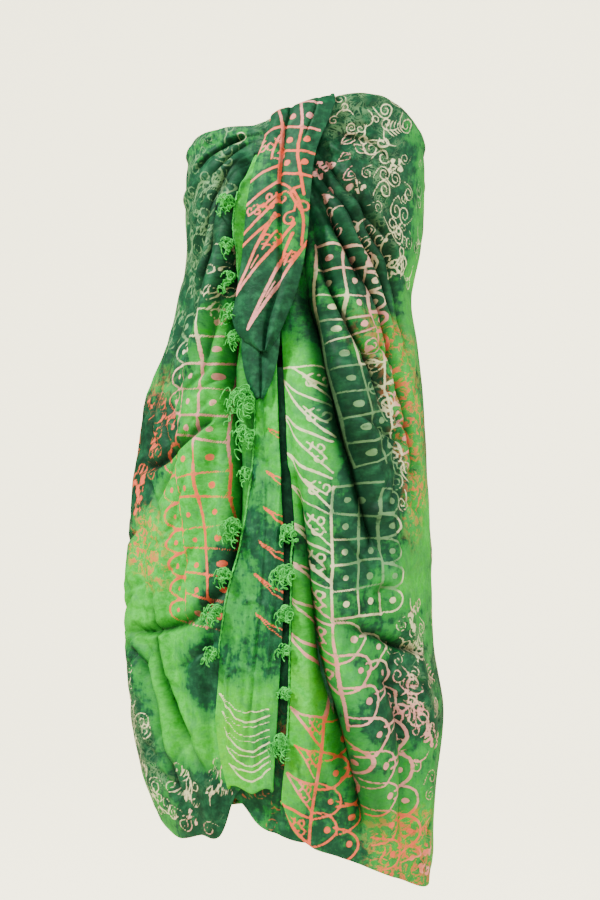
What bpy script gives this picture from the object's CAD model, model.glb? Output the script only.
import math
import random

import bpy
import numpy as np
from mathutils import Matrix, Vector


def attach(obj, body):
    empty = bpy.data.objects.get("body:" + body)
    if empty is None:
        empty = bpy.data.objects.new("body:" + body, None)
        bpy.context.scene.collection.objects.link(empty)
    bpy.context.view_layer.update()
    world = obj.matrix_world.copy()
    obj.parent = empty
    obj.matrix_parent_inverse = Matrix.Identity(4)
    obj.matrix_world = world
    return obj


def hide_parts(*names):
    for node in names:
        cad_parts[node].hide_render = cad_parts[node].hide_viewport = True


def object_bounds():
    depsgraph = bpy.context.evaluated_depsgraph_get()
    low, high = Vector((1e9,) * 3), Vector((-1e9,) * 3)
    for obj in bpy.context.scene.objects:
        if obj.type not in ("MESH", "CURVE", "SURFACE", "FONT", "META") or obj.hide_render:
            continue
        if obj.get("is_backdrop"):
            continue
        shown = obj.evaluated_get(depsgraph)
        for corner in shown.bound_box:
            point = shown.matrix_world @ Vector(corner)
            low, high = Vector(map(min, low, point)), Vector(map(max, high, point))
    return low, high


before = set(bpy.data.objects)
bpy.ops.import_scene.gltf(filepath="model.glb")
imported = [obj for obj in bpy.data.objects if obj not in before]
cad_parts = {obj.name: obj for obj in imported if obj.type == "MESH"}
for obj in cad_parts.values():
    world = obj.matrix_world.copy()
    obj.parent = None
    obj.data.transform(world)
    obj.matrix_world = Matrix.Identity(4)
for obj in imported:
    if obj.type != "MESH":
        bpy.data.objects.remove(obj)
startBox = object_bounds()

bpy.ops.object.select_all(action="DESELECT")
print("frame loaded")

# The plain oval form that the cloth wraps: height, half width left and right, depth to the front and the back
formTable = (
    (0.045, 0.136, 0.154, 0.098, 0.094), (0.000, 0.150, 0.163, 0.110, 0.102),
    (-0.067, 0.153, 0.166, 0.126, 0.106),
    (-0.147, 0.152, 0.160, 0.128, 0.098), (-0.200, 0.165, 0.149, 0.126, 0.092),
    (-0.267, 0.186, 0.157, 0.126, 0.092),
    (-0.333, 0.212, 0.164, 0.130, 0.102), (-0.400, 0.226, 0.167, 0.134, 0.116),
    (-0.467, 0.233, 0.170, 0.138, 0.126),
    (-0.600, 0.240, 0.174, 0.146, 0.130), (-0.653, 0.242, 0.177, 0.148, 0.128),
    (-0.733, 0.233, 0.192, 0.150, 0.126),
    (-0.840, 0.211, 0.184, 0.148, 0.124), (-0.913, 0.184, 0.179, 0.146, 0.122),
    (-0.985, 0.166, 0.177, 0.144, 0.120),
)
# Fullness over the chest: angle, height, rise, half width in degrees, half height
chestTable = ((-36.0, -0.105, 0.012, 26.0, 0.075), (36.0, -0.100, 0.012, 26.0, 0.075))
topEdge = (
    (-90, 0.000), (-60, 0.008), (-30, 0.006), (-12, 0.003), (0, 0.013), (18, 0.029), (35, 0.041),
    (55, 0.040), (75, 0.022), (90, 0.008), (120, -0.006), (180, -0.014), (240, -0.008), (270, 0.000),
)


# A table's column at other values of its first one, by a cubic through the rows
def readTable(table, at, column=1):
    rows = np.array(sorted(row[:1] + (row[column],) for row in table), float)
    known, value = rows[:, 0], rows[:, 1]
    slope = np.gradient(value, known)
    first = np.clip(np.searchsorted(known, at) - 1, 0, len(known) - 2)
    span = known[first + 1] - known[first]
    t = np.clip((at - known[first]) / span, 0, 1)
    start = value[first] * (1 + 2 * t) * (1 - t) ** 2 + slope[first] * span * t * (1 - t) ** 2
    end = value[first + 1] * t * t * (3 - 2 * t) - slope[first + 1] * span * t * t * (1 - t)
    return start + end


def ease(t):
    t = np.clip(t, 0, 1)
    return t * t * (3 - 2 * t)


def hump(t):
    return np.clip(1 - t * t, 0, 1) ** 2


# Points on the form at these angles and heights, moved out and along it
def formPoint(angle, z, out=0.0, slide=0.0):
    turn = np.radians(angle)
    across, forward = np.sin(turn), np.cos(turn)
    width = np.where(across >= 0, readTable(formTable, z, 2), readTable(formTable, z, 1))
    depth = np.where(forward >= 0, readTable(formTable, z, 3), readTable(formTable, z, 4))
    x, y = width * across, -depth * forward
    normal = np.stack([x / width**2, y / depth**2], -1)
    normal /= np.linalg.norm(normal, axis=-1, keepdims=True)
    for centre, height, rise, halfAngle, halfHeight in chestTable:
        near = ((angle - centre) / halfAngle) ** 2 + ((z - height) / halfHeight) ** 2
        out = out + rise * np.exp(-near)
    x = x + normal[..., 0] * out - normal[..., 1] * slide
    y = y + normal[..., 1] * out + normal[..., 0] * slide
    return np.stack([x, y, z], -1)


# The cloth unrolled: metres along the form from the middle of the front, for drawing the print on it
lengthAngles = np.arange(-100, 281, 2.0)
lengthHeights = np.linspace(-1.0, 0.06, 60)
gridAngle, gridHeight = np.meshgrid(lengthAngles, lengthHeights)
steps = np.linalg.norm(np.diff(formPoint(gridAngle, gridHeight, 0.006), axis=1), axis=2)
lengthTable = np.concatenate([np.zeros((60, 1)), np.cumsum(steps, 1)], 1)
lengthTable -= lengthTable[:, [50]]


def unroll(angle, z):
    column = np.clip((np.asarray(angle, float) + 100) / 2, 0, len(lengthAngles) - 1.001)
    row = np.clip((np.asarray(z, float) + 1.0) / 1.06 * 59, 0, 58.999)
    i, j = row.astype(int), column.astype(int)
    u, v = row - i, column - j
    upper = lengthTable[i, j] * (1 - v) + lengthTable[i, j + 1] * v
    lower = lengthTable[i + 1, j] * (1 - v) + lengthTable[i + 1, j + 1] * v
    return np.stack([upper * (1 - u) + lower * u, np.asarray(z, float) + 0 * column], -1)


# Smooth noise on the unrolled cloth, from -1 to 1
def softNoise(x, y, size, seed):
    lattice = np.random.default_rng(seed).uniform(-1, 1, (64, 64))
    x, y = x / size, y / size
    i, j = np.floor(x).astype(int), np.floor(y).astype(int)
    u, v = ease(x - i), ease(y - j)
    corner = lambda a, b: lattice[(i + a) % 64, (j + b) % 64]
    near, far = (corner(0, k) * (1 - u) + corner(1, k) * u for k in (0, 1))
    return near * (1 - v) + far * v


# A smooth line through a few points
def bend(points, count=9):
    points = np.array(points, float)
    if len(points) == 2:
        return points
    known = np.concatenate([[0], np.cumsum(np.linalg.norm(np.diff(points, axis=0), axis=1))])
    at = np.linspace(0, known[-1], count)
    return np.stack([readTable(list(zip(known, points[:, k])), at) for k in (0, 1)], 1)


def crestLine(points, count=90):
    if len(points) > 3:
        return bend(np.array(points) * (0.0035, 1), count) / (0.0035, 1)
    start, middle, end = (np.array(point, float) for point in points)
    control = 2 * middle - (start + end) / 2
    t = np.linspace(0, 1, count)[:, None]
    return (1 - t) ** 2 * start + 2 * t * (1 - t) * control + t * t * end


# Folds, a row for each: points on its crest (angle, height), rise, how far the cloth falls away to the left
# and to the right of the crest, and how far the crest leans over (to the right if above 0). A rise below 0 is
# a groove, and its last number is how far its lips close over it. The third result is how deep in a groove a
# place is, from 0 to 1.
def foldRelief(folds, angle, z):
    shape = np.shape(angle)
    angle, z = np.ravel(angle), np.ravel(z)
    spots = formPoint(angle, z)
    relief, slide, valley = np.zeros(len(angle)), np.zeros(len(angle)), np.zeros(len(angle))
    for points, rise, reachLeft, reachRight, *lean in folds:
        line = crestLine(points)
        crest = formPoint(line[:, 0], line[:, 1])
        reach = max(reachLeft, reachRight)
        near = ((spots > crest.min(0) - reach) & (spots < crest.max(0) + reach)).all(1).nonzero()[0]
        if not len(near):
            continue
        spot = spots[near]
        best, along = np.full(len(near), 9.0), np.zeros(len(near))
        nearest = np.linalg.norm(spot[:, None] - crest[None], axis=2).argmin(1)
        for shift in (-1, 0):
            first = np.clip(nearest + shift, 0, len(crest) - 2)
            run = crest[first + 1] - crest[first]
            t = np.clip(((spot - crest[first]) * run).sum(1) / (run * run).sum(1), 0, 1)
            away = np.linalg.norm(spot - crest[first] - run * t[:, None], axis=1)
            closer = away < best
            best, along = np.where(closer, away, best), np.where(closer, first + t, along)
        ahead = np.gradient(line, axis=0)[nearest]
        beside = np.stack([angle[near], z[near]], 1) - line[nearest]
        right = beside[:, 0] * -ahead[:, 1] + beside[:, 1] * ahead[:, 0] > 0
        along = along / (len(line) - 1)
        fade = (0.3 + 0.7 * ease(along / 0.25)) * ease((1 - along) / 0.2)
        share = np.clip(best / np.where(right, reachRight, reachLeft), 0, 1)
        if rise > 0:
            relief[near] += rise * fade * hump(share)
            slide[near] += (lean[0] if lean else 0) * fade * hump(share)
        else:
            relief[near] += rise * fade * (1 - share) ** 1.5
            slide[near] += (lean[0] if lean else 0) * fade * np.where(right, -1, 1) * 4 * share * (1 - share)
            shade = min(1, -rise / 0.012) * fade * (1 - share) ** (1.2 if rise > -0.02 else 0.65)
            valley[near] = np.maximum(valley[near], shade)
    return relief.reshape(shape), slide.reshape(shape), valley.reshape(shape)


def sway(angle, z):
    loose = ease(-z / 0.6)
    wave = np.sin(np.radians(3 * angle + 40) + 9 * z) + 0.6 * np.sin(np.radians(7 * angle) - 14 * z)
    return 0.0022 * loose * wave


# Fine gathers that fan out from the knot, and small creases everywhere
def wrinkles(angle, z):
    spot = unroll(angle, z)
    x, y = spot[..., 0] - 0.012, spot[..., 1] + 0.015
    away = np.hypot(x, y)
    turn = np.arctan2(y, x)
    fan = (np.sin(19 * turn + 1.0 + 9 * away) + 0.7 * np.sin(31 * turn + 2.5 - 14 * away)
           + 0.5 * np.sin(47 * turn))
    gathered = hump(np.clip(away - 0.05, 0, 1) / 0.24) * ease(away / 0.05) * np.clip(away / 0.14, 0.25, 1)
    level, height = spot[..., 0], spot[..., 1]
    small = softNoise(level + 0.4 * y, height, 0.028, 3) + 0.5 * softNoise(level, height, 0.013, 5)
    long = softNoise(level, 0.3 * height + 0.2 * level, 0.017, 8) * ease(-z / 0.3)
    return 0.0012 * fan * gathered + 0.0011 * small + 0.0017 * long


# Folds, creases, swell and the rolled top edge of one stretch. It settles to a shared line at the side lines.
def reliefOf(stretch, angle, z, grooves=True):
    beside = np.abs(np.abs((angle + 180) % 360 - 180) - 90)
    own = ease(beside / 14)
    folds = stretch["folds"] + stretch["fineFolds"] + (stretch["grooves"] if grooves else [])
    out, slide, valley = foldRelief(folds, angle, z)
    roll = 0.0035 * hump((z - readTable(topEdge, angle) + 0.010) / 0.010)
    out = own * (out + wrinkles(angle, z)) + sway(angle, z) + roll
    return out, own * slide, own * valley


def downTheCloth(angle, hem, down):
    crowd = 0.9 + 0.7 * np.clip(1 - np.abs(angle) / 80, 0, 1)
    top = readTable(topEdge, angle)
    return top + (readTable(hem, angle) - top) * down**crowd


def freeEdge(edge, hem, down):
    angle = np.zeros_like(down)
    for _ in range(4):
        angle = readTable(edge, downTheCloth(angle, hem, down))
    return angle


# Carries a free edge round a thin roll and a little way back behind the cloth
def rollEdge(spots, flats, radius=0.0010, steps=4):
    edge, inner = spots[-1], spots[-2]
    ahead = edge - inner
    ahead /= np.linalg.norm(ahead, axis=1, keepdims=True)
    beside = np.gradient(edge, axis=0)
    normal = np.cross(ahead, beside)
    normal /= np.linalg.norm(normal, axis=1, keepdims=True)
    outward = edge * (1, 1, 0)
    normal *= -np.sign((normal * outward).sum(1, keepdims=True))
    rows, marks = [], []
    for step in range(1, steps + 1):
        turn = math.pi * step / steps
        rows.append(edge + radius * (math.sin(turn) * ahead + (1 - math.cos(turn)) * normal))
        marks.append(flats[-1] + (flats[-1] - flats[-2]) * 0.4 * step)
    rows.append(rows[-1] - 0.003 * ahead)
    marks.append(marks[-1])
    return np.concatenate([spots, rows]), np.concatenate([flats, marks])


# A sheet of cloth: a grid laid by place(across, down), which gives points and places on the unrolled cloth
def layCloth(name, piece, place, rolled):
    columns, rows = piece["columns"], piece["rows"]
    across, down = np.meshgrid(np.linspace(0, 1, columns + 1), np.linspace(0, 1, rows + 1))
    spots, flats = place(across, down)
    if "hem" in rolled:
        spots, flats = rollEdge(spots, flats)
    if "top" in rolled:
        spots, flats = (grid[::-1] for grid in rollEdge(spots[::-1], flats[::-1]))
    if "right" in rolled:
        spots, flats = (grid.swapaxes(0, 1) for grid in rollEdge(spots.swapaxes(0, 1), flats.swapaxes(0, 1)))
    if "left" in rolled:
        spots, flats = rollEdge(spots.swapaxes(0, 1)[::-1], flats.swapaxes(0, 1)[::-1])
        spots, flats = spots[::-1].swapaxes(0, 1), flats[::-1].swapaxes(0, 1)
    rowCount, columnCount = spots.shape[0] - 1, spots.shape[1] - 1
    bpy.ops.mesh.primitive_grid_add(x_subdivisions=columnCount, y_subdivisions=rowCount, size=2)
    sheet = bpy.context.object
    sheet.name = sheet.data.name = name
    corners = np.empty(len(sheet.data.vertices) * 3)
    sheet.data.vertices.foreach_get("co", corners)
    corners = corners.reshape(-1, 3)
    column = np.rint((corners[:, 0] + 1) / 2 * columnCount).astype(int)
    row = np.rint((1 - corners[:, 1]) / 2 * rowCount).astype(int)
    sheet.data.vertices.foreach_set("co", spots[row, column].ravel())
    flat = flats[row, column]
    setField(sheet, "valley", flat[:, 2] if flat.shape[1] > 2 else np.zeros(len(flat)))
    flat = flat[:, :2]
    loops = np.empty(len(sheet.data.loops), int)
    sheet.data.loops.foreach_get("vertex_index", loops)
    sheet.data.uv_layers[0].name = "cloth"
    sheet.data.uv_layers["cloth"].data.foreach_set("uv", flat[loops].ravel())
    sheet.data.shade_smooth()
    sheet.data.update()
    bpy.ops.object.select_all(action="DESELECT")
    print("laid", name, len(sheet.data.polygons) * 2, "triangles")
    return sheet, flat


def setField(sheet, name, values):
    field = sheet.data.attributes.new(name, "FLOAT", "POINT")
    field.data.foreach_set("value", np.asarray(values, np.float32))


# The print is drawn as strokes on the unrolled cloth: a kind, points and half widths in metres
handDice = random.Random(21)


def stroke(strokes, points, width=0.0016, ends=1.0):
    points = np.array(points, float)
    share = np.linspace(0, 1, len(points))
    taper = ends + (1 - ends) * np.sin(np.pi * share) ** 0.7
    strokes.append(("line", points, width * taper))


def dot(strokes, spot, radius):
    spot = np.array(spot, float)
    strokes.append(("line", np.array([spot, spot + (0.0003, 0.0004)]), np.full(2, radius)))


def patch(strokes, points):
    strokes.append(("fill", np.array(points, float), None))


# A drawing made round (0, 0) and moved onto the cloth
def stamp(strokes, drawing, spot, turn=0.0, size=1.0, flip=1.0):
    turn = math.radians(turn)
    spin = np.array([[math.cos(turn), math.sin(turn)], [-math.sin(turn), math.cos(turn)]]) * size
    for kind, points, widths in drawing:
        placed = (points * (flip, 1)) @ spin + np.array(spot)
        strokes.append((kind, placed, widths if widths is None else widths * min(1.0, max(size, 0.75))))


# A curl: a short stem that winds in on itself
def curlDrawing(radius=0.010, turns=1.6, stem=0.012, width=0.0013):
    turn = np.linspace(0, turns * 2 * math.pi, 26)
    reach = radius * (1 - 0.82 * turn / turn[-1]) ** 0.9
    wound = np.stack([reach * np.sin(turn), radius - reach * np.cos(turn)], 1)
    tail = np.stack([np.linspace(-stem, 0, 6)[:-1],
                     0.15 * np.linspace(-stem, 0, 6)[:-1] ** 2 / max(stem, 1e-6)], 1)
    drawing = []
    stroke(drawing, np.concatenate([tail, wound]), width, 0.75)
    return drawing


# A sprig: a stem with curved leaflets that widen and taper
def sprigDrawing(length=0.045, pairs=5, width=0.0014):
    drawing = []
    stroke(drawing, bend([(0, 0), (0.003, 0.5 * length), (0, length)]), 0.0012, 0.6)
    for k in range(pairs):
        base = length * (0.12 + 0.8 * k / pairs)
        reach = length * (0.42 - 0.05 * k)
        for side in (-1, 1):
            leaf = [(0.001, base), (side * 0.55 * reach, base + 0.25 * reach),
                    (side * reach, base + 0.75 * reach)]
            stroke(drawing, bend(leaf, 7), width, 0.25)
    dot(drawing, (0, length * 1.02), 0.0022)
    return drawing


# A bloom: a solid lobed patch, with petals left open by lines of the ground colour
def bloomDrawing(radius=0.014, lobes=5, seed=1):
    dice = random.Random(seed)
    drawing = []
    turn = np.linspace(0, 2 * math.pi, 61)[:-1]
    phase = dice.uniform(0, 6)
    reach = radius * (0.70 + 0.30 * np.abs(np.sin(lobes * turn / 2 + phase))
                      + 0.22 * np.sin(2 * turn + dice.uniform(0, 6))
                      + 0.12 * np.sin(3 * turn + dice.uniform(0, 6)) + 0.05 * np.sin(13 * turn))
    patch(drawing, np.stack([reach * np.cos(turn), reach * np.sin(turn)], 1))
    cut = []
    for k in range(0, lobes, 2):
        way = 2 * math.pi * k / lobes + phase
        outward = np.array([math.cos(way), math.sin(way)])
        stroke(cut, bend([outward * 0.35 * radius, outward * 0.6 * radius + (0.0015, -0.001),
                          outward * 0.95 * radius]), 0.0010)
    stamp(cut, curlDrawing(0.30 * radius, 1.3, 0.2 * radius, 0.0010), (0.1 * radius, -0.25 * radius),
          dice.uniform(0, 360))
    for k in range(4):
        dot(cut, (dice.uniform(-0.5, 0.5) * radius, dice.uniform(-0.5, 0.5) * radius), 0.0011)
    stamp(drawing, curlDrawing(0.36 * radius, 1.4, 0.5 * radius, 0.0013), (0.95 * radius, 0.2 * radius),
          dice.uniform(-60, 60))
    stamp(drawing, curlDrawing(0.32 * radius, 1.4, 0.5 * radius, 0.0013), (-0.9 * radius, -0.3 * radius),
          dice.uniform(120, 240))
    drawing += [("cut", points, widths) for kind, points, widths in cut]
    return drawing


# A hooked scroll as it fills a spike of a plume
def hookDrawing(size=0.012):
    drawing = []
    for points in (((0, 0), (0.05, 0.6), (0, 1.35)),
                   ((0, 0.10), (-0.28, 0.08), (-0.44, 0.28), (-0.32, 0.47), (-0.17, 0.38)),
                   ((0.02, 0.50), (0.26, 0.46), (0.40, 0.66), (0.28, 0.84), (0.14, 0.75)),
                   ((-0.24, 0.92), (0, 1.0), (0.18, 1.12))):
        stroke(drawing, bend(np.array(points) * size, 11), 0.0014, 0.85)
    dot(drawing, (-0.30 * size, 0.70 * size), 0.0016)
    return drawing


# The places along a band: how far to the side of its spine and how far down it
def bandFrame(spine):
    line = unroll(*np.array(spine, float).T)
    known = np.concatenate([[0], np.cumsum(np.linalg.norm(np.diff(line, axis=0), axis=1))])
    tables = [list(zip(known, line[:, k])) for k in (0, 1)]

    def at(points):
        points = np.array(points, float).reshape(-1, 2)
        along = np.clip(points[:, 1], 0, known[-1])
        here = np.stack([readTable(table, along) for table in tables], 1)
        ahead = np.stack([readTable(table, np.clip(along + 0.002, 0, known[-1])) for table in tables], 1)
        back = np.stack([readTable(table, np.clip(along - 0.002, 0, known[-1])) for table in tables], 1)
        way = ahead - back
        way /= np.linalg.norm(way, axis=1, keepdims=True)
        return here + np.stack([-way[:, 1], way[:, 0]], 1) * points[:, :1]

    return at, known[-1]


def shaky(points, amount=0.0007):
    return np.array(points, float) + [(handDice.uniform(-amount, amount),
                                       handDice.uniform(-amount, amount)) for _ in points]


# A line as the wax pen draws it, a little astray at each point and of uneven width
def drawn(strokes, points, width=0.0016, amount=0.0013, count=14):
    stroke(strokes, bend(shaky(points, amount), count), width * handDice.uniform(0.8, 1.25),
           handDice.uniform(0.7, 1))


# Beside a spine: columns of square cells with a dot in each, and a scalloped outer column
def scaleBand(strokes, spine, side, columns, cell, start=0.0, end=9.0, width=0.0016):
    at, length = bandFrame(spine)
    end = min(end, length)
    rows = int((end - start) / cell)
    for column in range(columns + 1):
        s = side * column * cell
        drawn(strokes, at([(s, t) for t in np.linspace(start, start + rows * cell, rows + 1)]), width,
              0.0021, rows * 6)
    for row in range(rows + 1):
        t = start + row * cell
        reach = side * columns * cell
        drop = 0.35 * cell * handDice.uniform(-0.6, 1)
        drawn(strokes, at([(share * reach, t - drop * share) for share in (0, 0.35, 0.7, 1.0)]), width)
        if row == rows:
            break
        for column in range(columns):
            s = side * (column + 0.5) * cell
            dot(strokes, shaky(at([(s, t + 0.5 * cell)]))[0], handDice.uniform(0.0034, 0.0046))
        arc = [(side * (columns + 0.88 * math.sin(turn)) * cell, t + cell * (0.5 - 0.5 * math.cos(turn)))
               for turn in np.linspace(0, math.pi, 11)]
        drawn(strokes, at(arc[::2]), width, 0.0011, 12)
        dot(strokes, shaky(at([(side * (columns + 0.42) * cell, t + 0.5 * cell)]))[0],
            handDice.uniform(0.0032, 0.0042))


# Beside a spine: long spikes that lean away up the band, with hooked scrolls at their feet
def plumeBand(strokes, spine, side, reach, pitch, start=0.0, end=9.0, width=0.0016, lean=0.8):
    at, length = bandFrame(spine)
    end = min(end, length)
    for row in range(int((end - start) / pitch)):
        t = start + (row + 1) * pitch
        long = reach * handDice.uniform(0.88, 1.1)
        tip = (side * long, t - lean * long)
        low = [(0, t), (side * 0.48 * long, t - 0.44 * lean * long), tip]
        high = [(side * 0.02 * reach, t - 0.86 * pitch),
                (side * 0.50 * long, t - 0.46 * pitch - 0.44 * lean * long), tip]
        drawn(strokes, at(bend(low, 5)), width, 0.0010)
        drawn(strokes, at(bend(high, 5)), width, 0.0010)
        foot = at([(side * 0.10 * reach, t - 0.40 * pitch),
                   (side * 0.6 * reach, t - 0.40 * pitch - 0.44 * lean * reach)])
        way = foot[1] - foot[0]
        turn = math.degrees(math.atan2(way[1], way[0])) - 90 + handDice.uniform(-8, 8)
        stamp(strokes, hookDrawing(0.50 * pitch), foot[0], turn, 1.0, handDice.choice((-1, 1)))


# Beside a spine: rounded scales that overlap, each with a dot
def scaleLeaves(strokes, spine, side, columns, cell, start=0.0, end=9.0, width=0.0016):
    at, length = bandFrame(spine)
    for column in range(columns):
        for row in range(int((min(end, length) - start) / cell)):
            t, s = start + (row + 0.5 * (column % 2)) * cell, 0.78 * column * cell
            arc = [(side * (s + 1.10 * cell * math.sin(turn) * (0.85 + 0.15 * math.cos(turn))),
                    t + 1.25 * cell * (0.5 - 0.5 * math.cos(turn))) for turn in np.linspace(0, math.pi, 13)]
            drawn(strokes, at(arc[::2]), width, 0.0014, 14)
            dot(strokes, shaky(at([(side * (s + 0.60 * cell), t + 0.60 * cell)]))[0],
                handDice.uniform(0.0034, 0.0044))


# Loose curls, sprigs, blooms, dots, leaves and tendrils, strewn within a radius of each spot
def strew(strokes, spots, seed, crowd=0.021, clear=0.011):
    dice = random.Random(seed)
    taken = []
    drawnPoints = np.concatenate([points for kind, points, widths in strokes] or [np.full((1, 2), 9.0)])
    for angle, z, radius, count, kinds in spots:
        centre = unroll(angle, z)
        for _ in range(count * 12):
            if count == 0:
                break
            way, away = dice.uniform(0, 6.283), radius * math.sqrt(dice.random())
            spot = centre + np.array([math.cos(way) * away, math.sin(way) * away])
            crowded = any(np.hypot(*(spot - other)) < crowd for other in taken)
            if crowded or np.hypot(*(drawnPoints - spot).T).min() < clear:
                continue
            taken.append(spot)
            count -= 1
            kind, turn = dice.choice(kinds), dice.uniform(0, 360)
            flip = dice.choice((-1, 1))
            if kind == "c":
                size = dice.uniform(0.6, 1.15)
                stamp(strokes, curlDrawing(0.0110, dice.uniform(1.2, 1.7), 0.016, 0.0011), spot, turn, size,
                      flip)
            elif kind == "s":
                stamp(strokes, sprigDrawing(0.036, 4), spot, turn, dice.uniform(0.8, 1.15))
            elif kind == "b":
                stamp(strokes, bloomDrawing(dice.uniform(0.007, 0.012), dice.choice((4, 5, 6)),
                                            dice.randrange(99)), spot, turn)
            elif kind == "d":
                for step in range(5):
                    dot(strokes, spot + (0.004 * math.cos(step * 1.3),
                                         0.0045 * math.sin(step * 1.3) * step / 3), 0.0011)
            elif kind == "l":
                leaf = []
                stroke(leaf, bend([(0, 0), (0.006, 0.010), (0.002, 0.024)], 9), 0.0010, 0.6)
                stroke(leaf, bend([(0, 0), (-0.006, 0.012), (0.002, 0.024)], 9), 0.0010, 0.6)
                stroke(leaf, bend([(0, 0.002), (0.001, 0.010), (0.001, 0.017)], 5), 0.0009, 0.6)
                stamp(strokes, leaf, spot, turn, dice.uniform(0.8, 1.3))
            elif kind == "t":
                line = [(0, 0), (0.010, 0.006), (0.013, 0.020), (0.004, 0.030)]
                drawing = []
                stroke(drawing, bend(line, 12), 0.0013, 0.5)
                stamp(drawing, curlDrawing(0.0080, 1.1, 0.006, 0.0011), (0.004, 0.030), 60)
                stamp(drawing, curlDrawing(0.0070, 1.0, 0.006, 0.0011), (0.012, 0.012), -70)
                stamp(strokes, drawing, spot, turn, dice.uniform(0.8, 1.2), flip)


# How far each place on the cloth is outside the nearest stroke, in millimetres. Below 0 is inside one.
def inkGap(strokes, flat, clip=0.006):
    gap, cut = np.full(len(flat), clip), np.full(len(flat), clip)
    for kind, points, widths in strokes:
        margin = 0.004 + (0 if widths is None else widths.max())
        low, high = points.min(0) - margin, points.max(0) + margin
        near = ((flat > low) & (flat < high)).all(1).nonzero()[0]
        if not len(near):
            continue
        spot = flat[near]
        if kind == "fill":
            ends = np.concatenate([points, points[:1]])
            inside = np.zeros(len(near), bool)
        else:
            ends = points
        best = np.full(len(near), clip)
        for k in range(len(ends) - 1):
            a, b = ends[k], ends[k + 1]
            run = b - a
            t = np.clip(((spot - a) @ run) / max(run @ run, 1e-12), 0, 1)
            away = np.hypot(*(spot - a - run * t[:, None]).T)
            if kind == "fill":
                crosses = (a[1] > spot[:, 1]) != (b[1] > spot[:, 1])
                beside = (spot[:, 1] - a[1]) * run[0] / (run[1] if run[1] else 1e-9)
                inside ^= crosses & (spot[:, 0] < a[0] + beside)
            else:
                away = away - (widths[k] * (1 - t) + widths[k + 1] * t)
            best = np.minimum(best, away)
        if kind == "fill":
            best = np.where(inside, -best, best)
        target = cut if kind == "cut" else gap
        target[near] = np.minimum(target[near], best)
    return np.maximum(gap, -cut) * 1000


# Colour fields by hand-placed spots: angle, height, dark, warm, fine lines, yellow, ink. Ink goes from dull
# green below 0 by cream at 0 and pink at 0.5 to coral at 1.
def paintFields(table, flat, size=0.021):
    rows = np.array(table, float)
    centres = unroll(rows[:, 0], rows[:, 1])
    total, sums = np.full(len(flat), 1e-9), np.zeros((len(flat), rows.shape[1] - 2))
    for centre, values in zip(centres, rows[:, 2:]):
        away = ((flat - centre) ** 2).sum(1)
        weight = np.exp(-away / (2 * size * size)) + 1e-6 / (1e-4 + away)
        total += weight
        sums += weight[:, None] * values
    return (sums / total[:, None]).T


fieldNames = ("dark", "warm", "fine", "yellow", "ink")


def printOn(sheet, flat, strokes, table, size=0.021):
    setField(sheet, "gap", inkGap(strokes, flat))
    for name, values in zip(fieldNames, paintFields(table, flat, size)):
        setField(sheet, name, values)


# The colours of the dye and the wax lines, and the look of the cloth itself
dye = {
    "bright": (0.016, 0.400, 0.018), "light": (0.070, 0.640, 0.065), "yellow": (0.130, 0.620, 0.008),
    "dark": (0.006, 0.060, 0.025), "deep": (0.002, 0.016, 0.007), "mid": (0.018, 0.150, 0.055),
    "dull": (0.160, 0.330, 0.130),
    "cream": (0.800, 0.780, 0.420), "pink": (0.880, 0.330, 0.300), "coral": (0.930, 0.130, 0.055),
    "grain": (0.006, 0.040, 0.014), "fold": (0.0008, 0.0080, 0.0030),
}
clothLook = {"fineLines": 0.7, "foldShade": 0.90, "bump": 0.5, "bumpDistance": 0.003, "roughness": 0.6,
             "specular": 0.14}


def wire(tree, kind, inputs=(), out=0, **settings):
    node = tree.nodes.new(kind)
    for name, value in settings.items():
        setattr(node, name, value)
    for name, value in dict(inputs).items():
        socket = node.inputs[name]
        if isinstance(value, bpy.types.NodeSocket):
            tree.links.new(value, socket)
        else:
            socket.default_value = value
    return node.outputs[out]


def calc(tree, operation, a, b=0.0, c=0.0):
    return wire(tree, "ShaderNodeMath", {0: a, 1: b, 2: c}, operation=operation)


def noise(tree, vector, scale, detail=3.0, rough=0.5, twist=0.0):
    return wire(tree, "ShaderNodeTexNoise",
                {"Vector": vector, "Scale": scale, "Detail": detail, "Roughness": rough, "Distortion": twist})


def blur(tree, value, low, high, start=0.0, end=1.0):
    return wire(tree, "ShaderNodeMapRange",
                {"Value": value, "From Min": low, "From Max": high, "To Min": start, "To Max": end},
                interpolation_type="SMOOTHSTEP")


def blendColour(tree, share, first, second):
    first = (*first, 1) if isinstance(first, tuple) else first
    second = (*second, 1) if isinstance(second, tuple) else second
    return wire(tree, "ShaderNodeMix", {0: share, 6: first, 7: second}, out=2, data_type="RGBA")


def newGroup(name, inputs, outputs):
    group = bpy.data.node_groups.new(name, "ShaderNodeTree")
    for label, kind in inputs:
        group.interface.new_socket(label, in_out="INPUT", socket_type=kind)
    for label, kind in outputs:
        group.interface.new_socket(label, in_out="OUTPUT", socket_type=kind)
    return group, group.nodes.new("NodeGroupInput").outputs, group.nodes.new("NodeGroupOutput").inputs


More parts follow.
